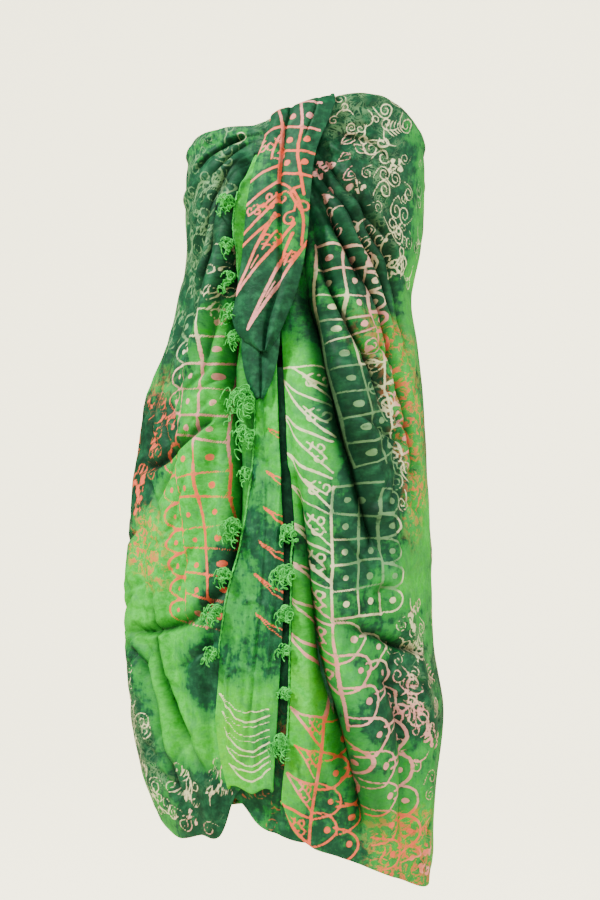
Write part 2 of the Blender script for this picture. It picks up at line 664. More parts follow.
# The dyed ground: mottled bright green, dark dye that bleeds at its borders, yellow places, orange flecks
def makeGround():
    group, given, result = newGroup("dyedGround",
                                    [("Vector", "NodeSocketVector"), ("Dark", "NodeSocketFloat"),
        ("Warm", "NodeSocketFloat"), ("Yellow", "NodeSocketFloat")], [("Color", "NodeSocketColor")])
    vector = given["Vector"]
    wide, small, grain = noise(group, vector, 34, 4, 0.6, 0.4), noise(group, vector, 120, 5,
                                                                      0.62), noise(group, vector, 420, 3)
    stretched = wire(group, "ShaderNodeMapping", {"Vector": vector, "Scale": (1.0, 0.22, 1.0)})
    streak = noise(group, stretched, 190, 3, 0.6)
    uneven = calc(group, "MULTIPLY_ADD", calc(group, "SUBTRACT", wide, 0.5), 0.85, given["Dark"])
    uneven = calc(group, "MULTIPLY_ADD", calc(group, "SUBTRACT", small, 0.5), 0.80, uneven)
    uneven = calc(group, "MULTIPLY_ADD", calc(group, "SUBTRACT", streak, 0.5), 0.40, uneven)
    darkness = blur(group, uneven, 0.34, 0.60)
    deepness = blur(group, uneven, 0.70, 1.20)
    light = blendColour(group, blur(group, small, 0.32, 0.68), dye["bright"], dye["light"])
    light = blendColour(group, calc(group, "MULTIPLY", given["Yellow"], blur(group, wide, 0.25, 0.6)), light,
                        dye["yellow"])
    bleed = calc(group, "MULTIPLY", blur(group, uneven, 0.10, 0.36), 0.55)
    light = blendColour(group, bleed, light, dye["mid"])
    shade = blendColour(group, blur(group, noise(group, vector, 75, 4, 0.6), 0.42, 0.75), dye["dark"],
                        dye["mid"])
    shade = blendColour(group, calc(group, "MULTIPLY", deepness, 0.8), shade, dye["deep"])
    colour = blendColour(group, darkness, light, shade)
    flecks = calc(group, "MULTIPLY", blur(group, noise(group, vector, 105, 4, 0.7, 0.8), 0.49, 0.58),
                  blur(group, given["Warm"], 0.15, 0.9))
    colour = blendColour(group, calc(group, "MULTIPLY", flecks, 0.85), colour, dye["coral"])
    toned = blendColour(group, calc(group, "MULTIPLY", blur(group, grain, 0.3, 0.7), 0.16), colour,
                        dye["grain"])
    group.links.new(toned, result["Color"])
    return group


# Drawn lines: crisp but uneven edges, with the wax worn through here and there
def makeInk():
    group, given, result = newGroup("waxLines", [("Vector", "NodeSocketVector"), ("Gap", "NodeSocketFloat"),
        ("Ink", "NodeSocketFloat")], [("Color", "NodeSocketColor"), ("Mask", "NodeSocketFloat")])
    vector = given["Vector"]
    shake = calc(group, "SUBTRACT", noise(group, vector, 260, 3, 0.6), 0.5)
    edge = calc(group, "MULTIPLY_ADD", shake, 1.5, given["Gap"])
    mask = blur(group, edge, -0.52, 0.04, 1.0, 0.0)
    worn = blur(group, noise(group, vector, 95, 4, 0.65), 0.30, 0.46, 0.35, 1.0)
    group.links.new(calc(group, "MULTIPLY", mask, worn), result["Mask"])
    tone = calc(group, "MULTIPLY_ADD", calc(group, "SUBTRACT", noise(group, vector, 60, 3), 0.5), 0.5,
                given["Ink"])
    lower = blendColour(group, blur(group, tone, -0.45, -0.20), dye["dull"], dye["cream"])
    lower = blendColour(group, blur(group, tone, 0.12, 0.48), lower, dye["pink"])
    colour = blendColour(group, blur(group, tone, 0.52, 0.85), lower, dye["coral"])
    group.links.new(colour, result["Color"])
    return group


# Fine pale outlines of leaves, as thin level lines of two uneven fields
def makeFine():
    group, given, result = newGroup("fineLines", [("Vector", "NodeSocketVector"),
                                                  ("Amount", "NodeSocketFloat")],
                                                  [("Mask", "NodeSocketFloat")])
    vector = given["Vector"]
    first, second = noise(group, vector, 42, 1, 0.5, 1.6), noise(group, vector, 66, 1, 0.5, 2.2)
    lines = []
    for field, level, width in ((first, 0.44, 0.040), (first, 0.58, 0.034), (second, 0.5, 0.045)):
        lines.append(blur(group, calc(group, "ABSOLUTE", calc(group, "SUBTRACT", field, level)), 0.5 * width,
                          width, 1.0, 0.0))
    mask = calc(group, "MAXIMUM", calc(group, "MAXIMUM", lines[0], lines[1]), lines[2])
    uneven = calc(group, "SUBTRACT", noise(group, vector, 40, 2), 0.5)
    place = blur(group, calc(group, "ADD", given["Amount"], uneven), 0.3, 0.7)
    group.links.new(calc(group, "MULTIPLY", mask, place), result["Mask"])
    return group


# Thread and small crumple of the cloth
def makeWeave():
    group, given, result = newGroup("clothSurface", [("Vector", "NodeSocketVector")],
                                    [("Height", "NodeSocketFloat")])
    vector = given["Vector"]
    across = noise(group, wire(group, "ShaderNodeMapping", {"Vector": vector, "Scale": (0.15, 1.0, 1.0)}),
                   1500, 2)
    along = noise(group, wire(group, "ShaderNodeMapping", {"Vector": vector, "Scale": (1.0, 0.15, 1.0)}),
                  1500, 2)
    crumple = noise(group, vector, 85, 4, 0.55, 0.6)
    threads = calc(group, "MULTIPLY", calc(group, "ADD", across, along), 0.09)
    group.links.new(calc(group, "MULTIPLY_ADD", crumple, 1.0, threads), result["Height"])
    return group


groundGroup, inkGroup, fineGroup, weaveGroup = makeGround(), makeInk(), makeFine(), makeWeave()


def clothMaterial(name, lineStrength):
    material = bpy.data.materials.new(name)
    material.use_nodes = True
    tree = material.node_tree
    shader = tree.nodes["Principled BSDF"]
    vector = wire(tree, "ShaderNodeUVMap", uv_map="cloth")
    read = lambda field: wire(tree, "ShaderNodeAttribute", out=2, attribute_name=field,
                              attribute_type="GEOMETRY")
    groups = []
    for group in (groundGroup, inkGroup, fineGroup, weaveGroup):
        groups.append(tree.nodes.new("ShaderNodeGroup"))
        groups[-1].node_tree = group
        tree.links.new(vector, groups[-1].inputs["Vector"])
    ground, ink, fine, weave = groups
    for field, socket in (("dark", ground.inputs["Dark"]), ("warm", ground.inputs["Warm"]),
                          ("yellow", ground.inputs["Yellow"]), ("gap", ink.inputs["Gap"]),
                          ("ink", ink.inputs["Ink"]), ("fine", fine.inputs["Amount"])):
        tree.links.new(read(field), socket)
    fineShare = calc(tree, "MULTIPLY", fine.outputs["Mask"], clothLook["fineLines"])
    colour = blendColour(tree, fineShare, ground.outputs["Color"], dye["dull"])
    inkShare = calc(tree, "MULTIPLY", ink.outputs["Mask"], lineStrength)
    colour = blendColour(tree, inkShare, colour, ink.outputs["Color"])
    # The bottoms of folds are painted darker, in place of the deep shade of tight folds
    foldShare = calc(tree, "MULTIPLY", read("valley"), clothLook["foldShade"])
    colour = blendColour(tree, foldShare, colour, dye["fold"])
    tree.links.new(colour, shader.inputs["Base Color"])
    bump = wire(tree, "ShaderNodeBump", {"Strength": clothLook["bump"], "Distance": clothLook["bumpDistance"],
                                         "Height": weave.outputs["Height"]})
    tree.links.new(bump, shader.inputs["Normal"])
    shader.inputs["Roughness"].default_value = clothLook["roughness"]
    shader.inputs["Specular IOR Level"].default_value = clothLook["specular"]
    return material


def dress(sheet, node, lineStrength=0.95):
    sheet.data.materials.clear()
    sheet.data.materials.append(clothMaterial(node + "_cloth", lineStrength))
    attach(sheet, "root")
    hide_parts(node)


# The front and back stretches. Edge: height, angle. Hem: angle, height.
frontLeft = {
    "columns": 150, "rows": 450,
    "edge": ((0.030, -0.6), (-0.100, -1.4), (-0.270, -2.4), (-0.500, -3.4), (-0.900, -3.4)),
    "hem": ((-90, -0.872), (-55, -0.880), (-44, -0.892), (-29, -0.880), (-18, -0.868), (-13, -0.828),
            (0, -0.800)),
    "folds": [
        (((-10, -0.017), (-30, -0.041), (-66, -0.095)), 0.008, 0.015, 0.016),
        (((-12, -0.032), (-28, -0.075), (-48, -0.175)), 0.010, 0.016, 0.017),
        (((-13, -0.048), (-26.5, -0.104), (-42, -0.240)), 0.012, 0.017, 0.017),
        (((-14, -0.068), (-24, -0.160), (-38, -0.350)), 0.013, 0.022, 0.019),
        (((-19, -0.150), (-26, -0.280), (-25, -0.540)), 0.020, 0.050, 0.030, 0.004),
        (((-9, -0.170), (-7, -0.420), (-8, -0.680)), -0.010, 0.032, 0.032),
        (((-66, -0.430), (-56, -0.680), (-48, -0.920)), 0.013, 0.038, 0.034, 0.004),
        (((-40, -0.480), (-41, -0.670), (-31, -0.920)), 0.014, 0.036, 0.026, 0.006),
        (((-21, -0.560), (-25, -0.720), (-21, -0.920)), 0.012, 0.030, 0.024, 0.005),
    ],
    "fineFolds": [
        (((-8.5, -0.005), (-30.8, 0.004), (-48.5, -0.022)), 0.0030, 0.007, 0.007),
        (((-10, -0.020), (-28, -0.014), (-58, -0.055)), 0.0034, 0.008, 0.008),
        (((-12, -0.046), (-26, -0.058), (-56, -0.140)), 0.0036, 0.009, 0.009),
        (((-12, -0.070), (-22, -0.108), (-42, -0.225)), 0.0038, 0.009, 0.009),
        (((-13, -0.098), (-20, -0.160), (-36, -0.310)), 0.0038, 0.009, 0.009),
        (((-70, -0.560), (-50, -0.600), (-38, -0.580)), 0.0020, 0.010, 0.010),
        (((-60, -0.300), (-40, -0.330), (-26, -0.300)), 0.0022, 0.012, 0.010),
        (((-38.5, -0.654), (-31.8, -0.720), (-22.8, -0.758), (-19, -0.781)), 0.0045, 0.010, 0.010),
        (((-16, -0.300), (-24, -0.420), (-30, -0.560)), 0.0040, 0.014, 0.014),
    ],
    "grooves": [
        (((-9.8, -0.013), (-22, -0.015), (-37.8, -0.028), (-52, -0.048)), -0.0085, 0.008, 0.009, 0.0018),
        (((-10, -0.021), (-20.2, -0.033), (-26.3, -0.048), (-32.2, -0.071), (-39, -0.110)), -0.0090, 0.008,
         0.009, 0.0018),
        (((-13.8, -0.040), (-19.5, -0.055), (-24.5, -0.074), (-29.2, -0.097), (-33, -0.127), (-38, -0.190)),
         -0.0100, 0.008, 0.010, 0.0020),
        (((-14.5, -0.053), (-20, -0.070), (-24.5, -0.091), (-26.8, -0.117), (-30, -0.160), (-35, -0.230)),
         -0.0100, 0.008, 0.010, 0.0020),
        (((-14, -0.080), (-18, -0.120), (-22, -0.175), (-25, -0.250), (-27, -0.330)), -0.0090, 0.009, 0.012,
         0.0015),
        (((-11, -0.050), (-14, -0.080), (-16.5, -0.110), (-18.5, -0.150), (-19.5, -0.220)), -0.0200, 0.013,
         0.016, 0.0040),
        (((-18.5, -0.190), (-17.2, -0.300), (-13.5, -0.390), (-12.5, -0.430), (-12.0, -0.489),
          (-12.5, -0.537), (-14.5, -0.640)),
         -0.0240, 0.020, 0.022, 0.0050),
        (((-60.5, -0.427), (-46.5, -0.421), (-30, -0.390), (-17.5, -0.354)), -0.0130, 0.007, 0.016, 0.0020),
        (((-61.3, -0.640), (-41.2, -0.632), (-27.2, -0.616), (-18, -0.587), (-13.2, -0.568)), -0.0125, 0.007,
         0.016, 0.0020),
        (((-41, -0.510), (-36, -0.500), (-32, -0.484)), -0.0036, 0.004, 0.007),
        (((-37.5, -0.560), (-33, -0.545), (-30.2, -0.525)), -0.0032, 0.004, 0.007),
        (((-70, -0.480), (-58, -0.500), (-48, -0.498)), -0.0026, 0.005, 0.008),
        (((-44.5, -0.574), (-42.5, -0.633), (-39.2, -0.686), (-32.5, -0.745), (-23.8, -0.796),
          (-18.8, -0.818)), -0.0150, 0.012, 0.015, 0.0030),
        (((-62, -0.650), (-50.8, -0.674), (-44, -0.719), (-42.5, -0.769), (-37.5, -0.810), (-34, -0.860)),
         -0.0130, 0.011, 0.014, 0.0024),
        (((-50, -0.220), (-56, -0.320), (-58, -0.450)), -0.0060, 0.012, 0.014, 0.0010),
    ],
}
frontRight = {
    "columns": 165, "rows": 460,
    "edge": ((0.030, 2.4), (-0.100, 2.4), (-0.270, 3.4), (-0.343, 4.8), (-0.404, 6.0), (-0.464, 7.5),
             (-0.536, 8.4),
             (-0.631, 8.4), (-0.749, 6.8), (-0.822, 4.4), (-0.900, 4.4)),
    "hem": ((0, -0.800), (4, -0.824), (8, -0.856), (15, -0.878), (27, -0.893), (50, -0.922), (73, -0.948),
            (90, -0.934)),
    "folds": [
        (((18, -0.064), (35, -0.152), (62, -0.262)), 0.012, 0.018, 0.018),
        (((20, -0.122), (34, -0.208), (58, -0.335)), 0.012, 0.020, 0.020),
        (((18, -0.170), (30, -0.290), (48, -0.440)), 0.013, 0.022, 0.022),
        (((24, -0.240), (38, -0.400), (60, -0.660)), 0.021, 0.026, 0.048, -0.006),
        (((8, -0.240), (15, -0.400), (22, -0.520), (27, -0.620), (33, -0.720), (46, -0.900)), 0.024, 0.024,
         0.050, -0.008),
        (((12, -0.450), (20, -0.650), (29, -0.830)), -0.009, 0.022, 0.022),
        (((9.5, -0.430), (12.5, -0.630), (11, -0.880)), 0.012, 0.017, 0.018, 0.004),
        (((38, -0.680), (44, -0.820), (50, -0.980)), 0.012, 0.034, 0.034),
        (((64, -0.600), (66, -0.790), (68, -0.990)), 0.013, 0.036, 0.036),
    ],
    "fineFolds": [
        (((22, -0.030), (34, -0.060), (62, -0.120)), 0.0034, 0.008, 0.009),
        (((24, -0.050), (38, -0.094), (70, -0.190)), 0.0038, 0.008, 0.009),
        (((24, -0.085), (36, -0.160), (60, -0.285)), 0.0040, 0.008, 0.009),
        (((22, -0.122), (31, -0.210), (52, -0.365)), 0.0040, 0.008, 0.009),
        (((20, -0.160), (26, -0.270), (40, -0.440)), 0.0036, 0.008, 0.009),
        (((40, -0.470), (58, -0.500), (76, -0.560)), 0.0030, 0.012, 0.012),
        (((14, -0.010), (28, 0.000), (50, 0.010)), 0.0032, 0.008, 0.008),
        (((15, -0.010), (24.2, -0.033), (29.8, -0.054), (33, -0.082), (37, -0.120)), 0.0070, 0.009, 0.009),
        (((30, -0.640), (36, -0.740), (42, -0.880)), 0.0060, 0.014, 0.016),
        (((52, -0.660), (56, -0.780), (60, -0.920)), 0.0050, 0.015, 0.015),
    ],
    "grooves": [
        (((23, -0.011), (31.8, -0.018), (41.8, -0.023), (56, -0.050)), -0.0075, 0.007, 0.009, 0.0015),
        (((17, -0.035), (24, -0.062), (33, -0.095), (44, -0.125), (58, -0.150)), -0.0085, 0.008, 0.009,
         0.0018),
        (((15, -0.050), (22.8, -0.086), (30.5, -0.113), (37.8, -0.148), (47.2, -0.168), (57.5, -0.198),
          (66, -0.270)),
         -0.0160, 0.011, 0.013, 0.0030),
        (((15, -0.076), (20.8, -0.102), (26.5, -0.138), (34, -0.167), (42.8, -0.196), (48.8, -0.219),
          (54.8, -0.255), (62, -0.350)),
         -0.0165, 0.011, 0.013, 0.0030),
        (((14, -0.110), (19, -0.150), (25, -0.200), (34, -0.250), (43, -0.300), (52, -0.370)), -0.0135,
         0.010, 0.013, 0.0020),
        (((34.5, -0.088), (42.2, -0.135), (54.5, -0.162), (66.5, -0.204), (72, -0.300)), -0.0105, 0.010,
         0.012, 0.0018),
        (((12.0, -0.150), (17, -0.228), (20.8, -0.259), (25.2, -0.316), (29.5, -0.370), (35.0, -0.416),
          (40.0, -0.464), (44, -0.503),
          (52, -0.560)), -0.0340, 0.022, 0.024, 0.0060),
        (((48.5, -0.268), (60, -0.312), (68.8, -0.396), (72, -0.460)), -0.0100, 0.010, 0.013, 0.0014),
        (((35.5, -0.361), (48.5, -0.379), (68, -0.398)), -0.0085, 0.005, 0.012, 0.0014),
        (((10, -0.440), (13.8, -0.520), (16.8, -0.600), (18.8, -0.645), (22.5, -0.690), (28, -0.749),
          (33.5, -0.804), (40, -0.890)),
         -0.0320, 0.019, 0.024, 0.0060),
        (((28.5, -0.612), (39.8, -0.626), (54, -0.644), (74, -0.660)), -0.0130, 0.007, 0.016, 0.0020),
        (((36.5, -0.679), (51.2, -0.691), (70.2, -0.697)), -0.0040, 0.005, 0.010),
        (((52, -0.440), (66, -0.470), (80, -0.480)), -0.0036, 0.005, 0.009),
        (((46, -0.660), (50, -0.760), (52, -0.900)), -0.0070, 0.013, 0.014, 0.0010),
    ],
}
back = {
    "columns": 150, "rows": 300,
    "hem": ((90, -0.934), (110, -0.922), (135, -0.934), (160, -0.918), (185, -0.926), (210, -0.908),
            (235, -0.904),
            (255, -0.884), (270, -0.872)),
    "folds": [
        (((106, -0.056), (130, -0.066), (162, -0.120)), 0.007, 0.020, 0.020),
        (((254, -0.056), (234, -0.070), (206, -0.126)), 0.007, 0.020, 0.020),
        (((120, -0.180), (123, -0.500), (120, -0.980)), 0.009, 0.036, 0.032),
        (((143, -0.260), (140, -0.560), (145, -0.980)), 0.012, 0.034, 0.036),
        (((166, -0.220), (162, -0.540), (159, -0.980)), 0.011, 0.038, 0.038),
        (((190, -0.260), (194, -0.560), (188, -0.970)), 0.013, 0.040, 0.036),
        (((216, -0.200), (220, -0.520), (214, -0.960)), 0.012, 0.038, 0.038),
        (((243, -0.220), (240, -0.520), (242, -0.950)), 0.013, 0.036, 0.036),
    ],
    "fineFolds": [
        (((104, -0.030), (140, -0.034), (175, -0.050)), 0.0026, 0.009, 0.009),
        (((256, -0.028), (226, -0.034), (196, -0.052)), 0.0026, 0.009, 0.009),
        (((100, -0.110), (134, -0.150), (172, -0.170)), 0.0034, 0.012, 0.013),
        (((260, -0.120), (228, -0.160), (186, -0.178)), 0.0034, 0.012, 0.013),
        (((130, -0.250), (133, -0.500), (132, -0.800)), 0.0030, 0.012, 0.012),
        (((178, -0.300), (176, -0.560), (173, -0.860)), 0.0030, 0.012, 0.012),
        (((204, -0.300), (207, -0.600), (203, -0.860)), 0.0032, 0.012, 0.012),
    ],
    "grooves": [
        (((112, -0.420), (150, -0.436), (190, -0.428)), -0.0045, 0.005, 0.009),
        (((196, -0.640), (226, -0.632), (256, -0.648)), -0.0045, 0.005, 0.009),
        (((106, -0.040), (130, -0.048), (160, -0.085)), -0.0060, 0.008, 0.010, 0.0010),
        (((254, -0.040), (230, -0.050), (202, -0.090)), -0.0060, 0.008, 0.010, 0.0010),
        (((154, -0.240), (151, -0.540), (153, -0.900)), -0.0110, 0.014, 0.014, 0.0020),
        (((178, -0.240), (178, -0.560), (174, -0.900)), -0.0100, 0.014, 0.014, 0.0020),
        (((203, -0.260), (207, -0.560), (201, -0.900)), -0.0110, 0.014, 0.014, 0.0020),
        (((230, -0.240), (230, -0.540), (228, -0.900)), -0.0090, 0.013, 0.013, 0.0020),
        (((131, -0.260), (131, -0.540), (132, -0.900)), -0.0090, 0.013, 0.013, 0.0020),
    ],
}


# Short creases of worn cloth, strewn over a stretch
def smallCreases(angles, heights, count, seed):
    dice = random.Random(seed)
    rows = []
    for _ in range(count):
        angle, z = dice.uniform(*angles), dice.uniform(*heights)
        run, drop = dice.uniform(3, 9), dice.uniform(0.006, 0.040)
        side = dice.choice((-1, 1, 1))
        points = ((angle - side * run, z - drop), (angle + dice.uniform(-1, 1),
                                                   z + dice.uniform(-0.004, 0.004)),
                                                   (angle + side * run, z + drop))
        rows.append((points, -dice.uniform(0.0026, 0.0060), dice.uniform(0.004, 0.006),
                     dice.uniform(0.008, 0.014)))
    return rows


frontLeft["grooves"] += smallCreases((-72, -20), (-0.84, -0.30), 36, 5)
frontRight["grooves"] += smallCreases((20, 76), (-0.88, -0.26), 34, 6)
back["grooves"] += smallCreases((102, 258), (-0.88, -0.14), 40, 7)


def stretchPoint(stretch, angle, z):
    out, slide, valley = reliefOf(stretch, angle, z)
    return formPoint(angle, z, out, slide), np.concatenate([unroll(angle, z), valley[..., None]], -1)


def placeFrontLeft(across, down):
    inner = freeEdge(frontLeft["edge"], frontLeft["hem"], down)
    angle = -90 + (inner + 90) * (1 - (1 - across) ** 1.45)
    z = downTheCloth(angle, frontLeft["hem"], down)
    return stretchPoint(frontLeft, angle, z)


def placeFrontRight(across, down):
    inner = freeEdge(frontRight["edge"], frontRight["hem"], down)
    angle = inner + (90 - inner) * across**1.2
    z = downTheCloth(angle, frontRight["hem"], down)
    return stretchPoint(frontRight, angle, z)


def placeBack(across, down):
    angle = 90 + 180 * across
    z = downTheCloth(angle, back["hem"], down)
    return stretchPoint(back, angle, z)


leftSheet, leftFlat = layCloth("front_left_cloth", frontLeft, placeFrontLeft, ("hem", "top", "right"))
rightSheet, rightFlat = layCloth("front_right_cloth", frontRight, placeFrontRight, ("hem", "top", "left"))
backSheet, backFlat = layCloth("back_cloth", back, placeBack, ("hem", "top"))

# The bands' spines, by angle and height
spines = {
    "knotBand": ((19, -0.120), (20, -0.200), (22.2, -0.249), (26.0, -0.291), (29, -0.331), (32.8, -0.374),
                 (37.0, -0.410),
                 (40.5, -0.452), (44.2, -0.501), (48, -0.560)),
    "plume": ((23.8, -0.300), (25.2, -0.380), (26.3, -0.434), (26.0, -0.488), (26.0, -0.536), (26.3, -0.589),
              (26.8, -0.637),
              (28.2, -0.678), (30.5, -0.720), (33.5, -0.768), (36.8, -0.823), (39.2, -0.872), (41, -0.910)),
    "hemPlume": ((20.5, -0.700), (19.0, -0.761), (17.2, -0.802), (15.5, -0.844), (14.5, -0.900)),
    "leftScale": ((-20.5, -0.160), (-19.2, -0.220), (-18.5, -0.255), (-16.8, -0.342), (-16.8, -0.403),
                  (-15.0, -0.464),
                  (-13, -0.525), (-12.2, -0.585), (-12.8, -0.640)),
    "backLeft": ((222, -0.160), (226, -0.300), (224, -0.450), (228, -0.600), (226, -0.760), (222, -0.900)),
    "backRight": ((136, -0.120), (132, -0.300), (136, -0.460), (131, -0.620), (134, -0.780), (138, -0.910)),
}
# Where motifs are strewn: angle, height, radius, how many, kinds. The kinds are c curl, s sprig, b bloom,
# d dots, l leaf and t tendril.
strewnRight = (
    (40, 0.010, 0.035, 8, "ccst"), (55, 0.005, 0.03, 7, "cct"), (36, -0.045, 0.03, 8, "ccl"),
    (52, -0.050, 0.035, 9, "cctdl"),
    (36, -0.100, 0.028, 7, "cct"), (50, -0.105, 0.030, 8, "cctl"), (58, -0.130, 0.030, 6, "sct"),
    (44, -0.150, 0.026, 6, "ccl"),
    (52, -0.180, 0.026, 6, "cct"), (62, -0.175, 0.020, 3, "sc"), (70, -0.060, 0.030, 5, "ctd"),
    (74, -0.140, 0.030, 5, "ct"),
    (50, -0.325, 0.022, 5, "ct"), (53, -0.375, 0.026, 7, "cctd"), (50, -0.430, 0.024, 5, "ct"),
    (58, -0.460, 0.020, 3, "cd"),
    (60, -0.610, 0.030, 7, "ctb"), (70, -0.630, 0.025, 5, "cbt"), (54, -0.670, 0.024, 6, "cct"),
    (64, -0.690, 0.030, 7, "ctsc"),
    (56, -0.730, 0.026, 7, "cct"), (68, -0.750, 0.030, 6, "cbt"), (60, -0.790, 0.026, 6, "cct"),
    (56, -0.840, 0.024, 5, "cbt"),
    (68, -0.830, 0.026, 5, "ct"), (44, -0.890, 0.020, 4, "cdt"), (54, -0.895, 0.02, 5, "ctb"),
    (66, -0.905, 0.02, 4, "cb"),
)
strewnLeft = (
    (-30, -0.090, 0.030, 9, "ct"), (-42, -0.080, 0.032, 8, "cttl"), (-55, -0.070, 0.032, 9, "ct"),
    (-34, -0.150, 0.030, 8, "ctt"),
    (-48, -0.150, 0.034, 8, "cttl"), (-60, -0.160, 0.030, 7, "ct"), (-33, -0.215, 0.028, 6, "tl"),
    (-47, -0.225, 0.030, 7, "ctl"),
    (-60, -0.250, 0.030, 7, "ctb"), (-70, -0.120, 0.030, 6, "ct"), (-28, -0.025, 0.022, 5, "t"),
    (-46, -0.020, 0.026, 6, "ct"),
    (-55, -0.350, 0.024, 6, "bcdt"), (-53, -0.405, 0.022, 6, "bcdt"), (-62, -0.460, 0.022, 5, "bcdt"),
    (-70, -0.380, 0.02, 4, "bct"),
    (-27, -0.825, 0.026, 9, "cct"), (-34, -0.845, 0.022, 6, "ctb"), (-23, -0.850, 0.016, 4, "ct"),
    (-44, -0.850, 0.02, 4, "ct"),
    (-58, -0.735, 0.022, 7, "ctt"), (-56, -0.785, 0.022, 7, "ctt"), (-68, -0.720, 0.026, 7, "ct"),
    (-76, -0.800, 0.03, 8, "ct"),
    (-52, -0.825, 0.02, 5, "ct"), (-66, -0.850, 0.026, 5, "ct"),
)
frontStrokes = []
scaleBand(frontStrokes, spines["knotBand"], 1, 2, 0.031, 0.035, 0.33)
scaleBand(frontStrokes, spines["plume"], 1, 2, 0.031, 0.15, 0.31)
scaleLeaves(frontStrokes, spines["plume"], 1, 2, 0.038, 0.31)
drawn(frontStrokes, bandFrame(spines["plume"])[0]([(0, t) for t in np.linspace(0.30, 0.44, 6)]), 0.0018,
      0.0010, 40)
plumeBand(frontStrokes, spines["plume"], -1, 0.062, 0.044, 0.0, 0.40, lean=1.25)
scaleLeaves(frontStrokes, spines["hemPlume"], 1, 2, 0.036, 0.03)
drawn(frontStrokes, bandFrame(spines["hemPlume"])[0]([(0, t) for t in np.linspace(0.0, 0.21, 7)]), 0.0018,
      0.0010, 30)
plumeBand(frontStrokes, spines["hemPlume"], -1, 0.040, 0.040, 0.02, 9, lean=1.1)
scaleBand(frontStrokes, spines["leftScale"], -1, 2, 0.033, 0.07)
for k, (angle, z, radius) in enumerate(((20, -0.062, 0.011), (23, -0.095, 0.008), (38, -0.148, 0.010),
                                        (45, -0.168, 0.012),
                                        (35, -0.085, 0.008), (56, -0.050, 0.010))):
    stamp(frontStrokes, bloomDrawing(radius, 5, 40 + k), unroll(angle, z), 40 * k)
for k in range(12):  # two rows of scrolls that follow the band to its right
    angle, z = 44 + 1.5 * k + 3.5 * (k % 2), -0.285 - 0.0165 * k
    stamp(frontStrokes, curlDrawing(0.0105, 1.5, 0.016, 0.0012), unroll(angle, z), 75 * k, 1.0,
          1 - 2 * (k % 2))
strew(frontStrokes, strewnRight, 4, 0.0185, 0.0120)
strew(frontStrokes, strewnLeft, 9, 0.0155, 0.010)
backStrokes = []
scaleBand(backStrokes, spines["backLeft"], 1, 2, 0.027, 0.02)
plumeBand(backStrokes, spines["backLeft"], -1, 0.055, 0.044, lean=1.2)
scaleBand(backStrokes, spines["backRight"], 1, 2, 0.027, 0.02)
plumeBand(backStrokes, spines["backRight"], -1, 0.055, 0.044, lean=1.2)
strew(backStrokes, [(angle, z, 0.035, 7,
                     "cctbs") for angle in (104, 176, 196, 256) for z in np.arange(-0.09, -0.90, -0.075)], 14)

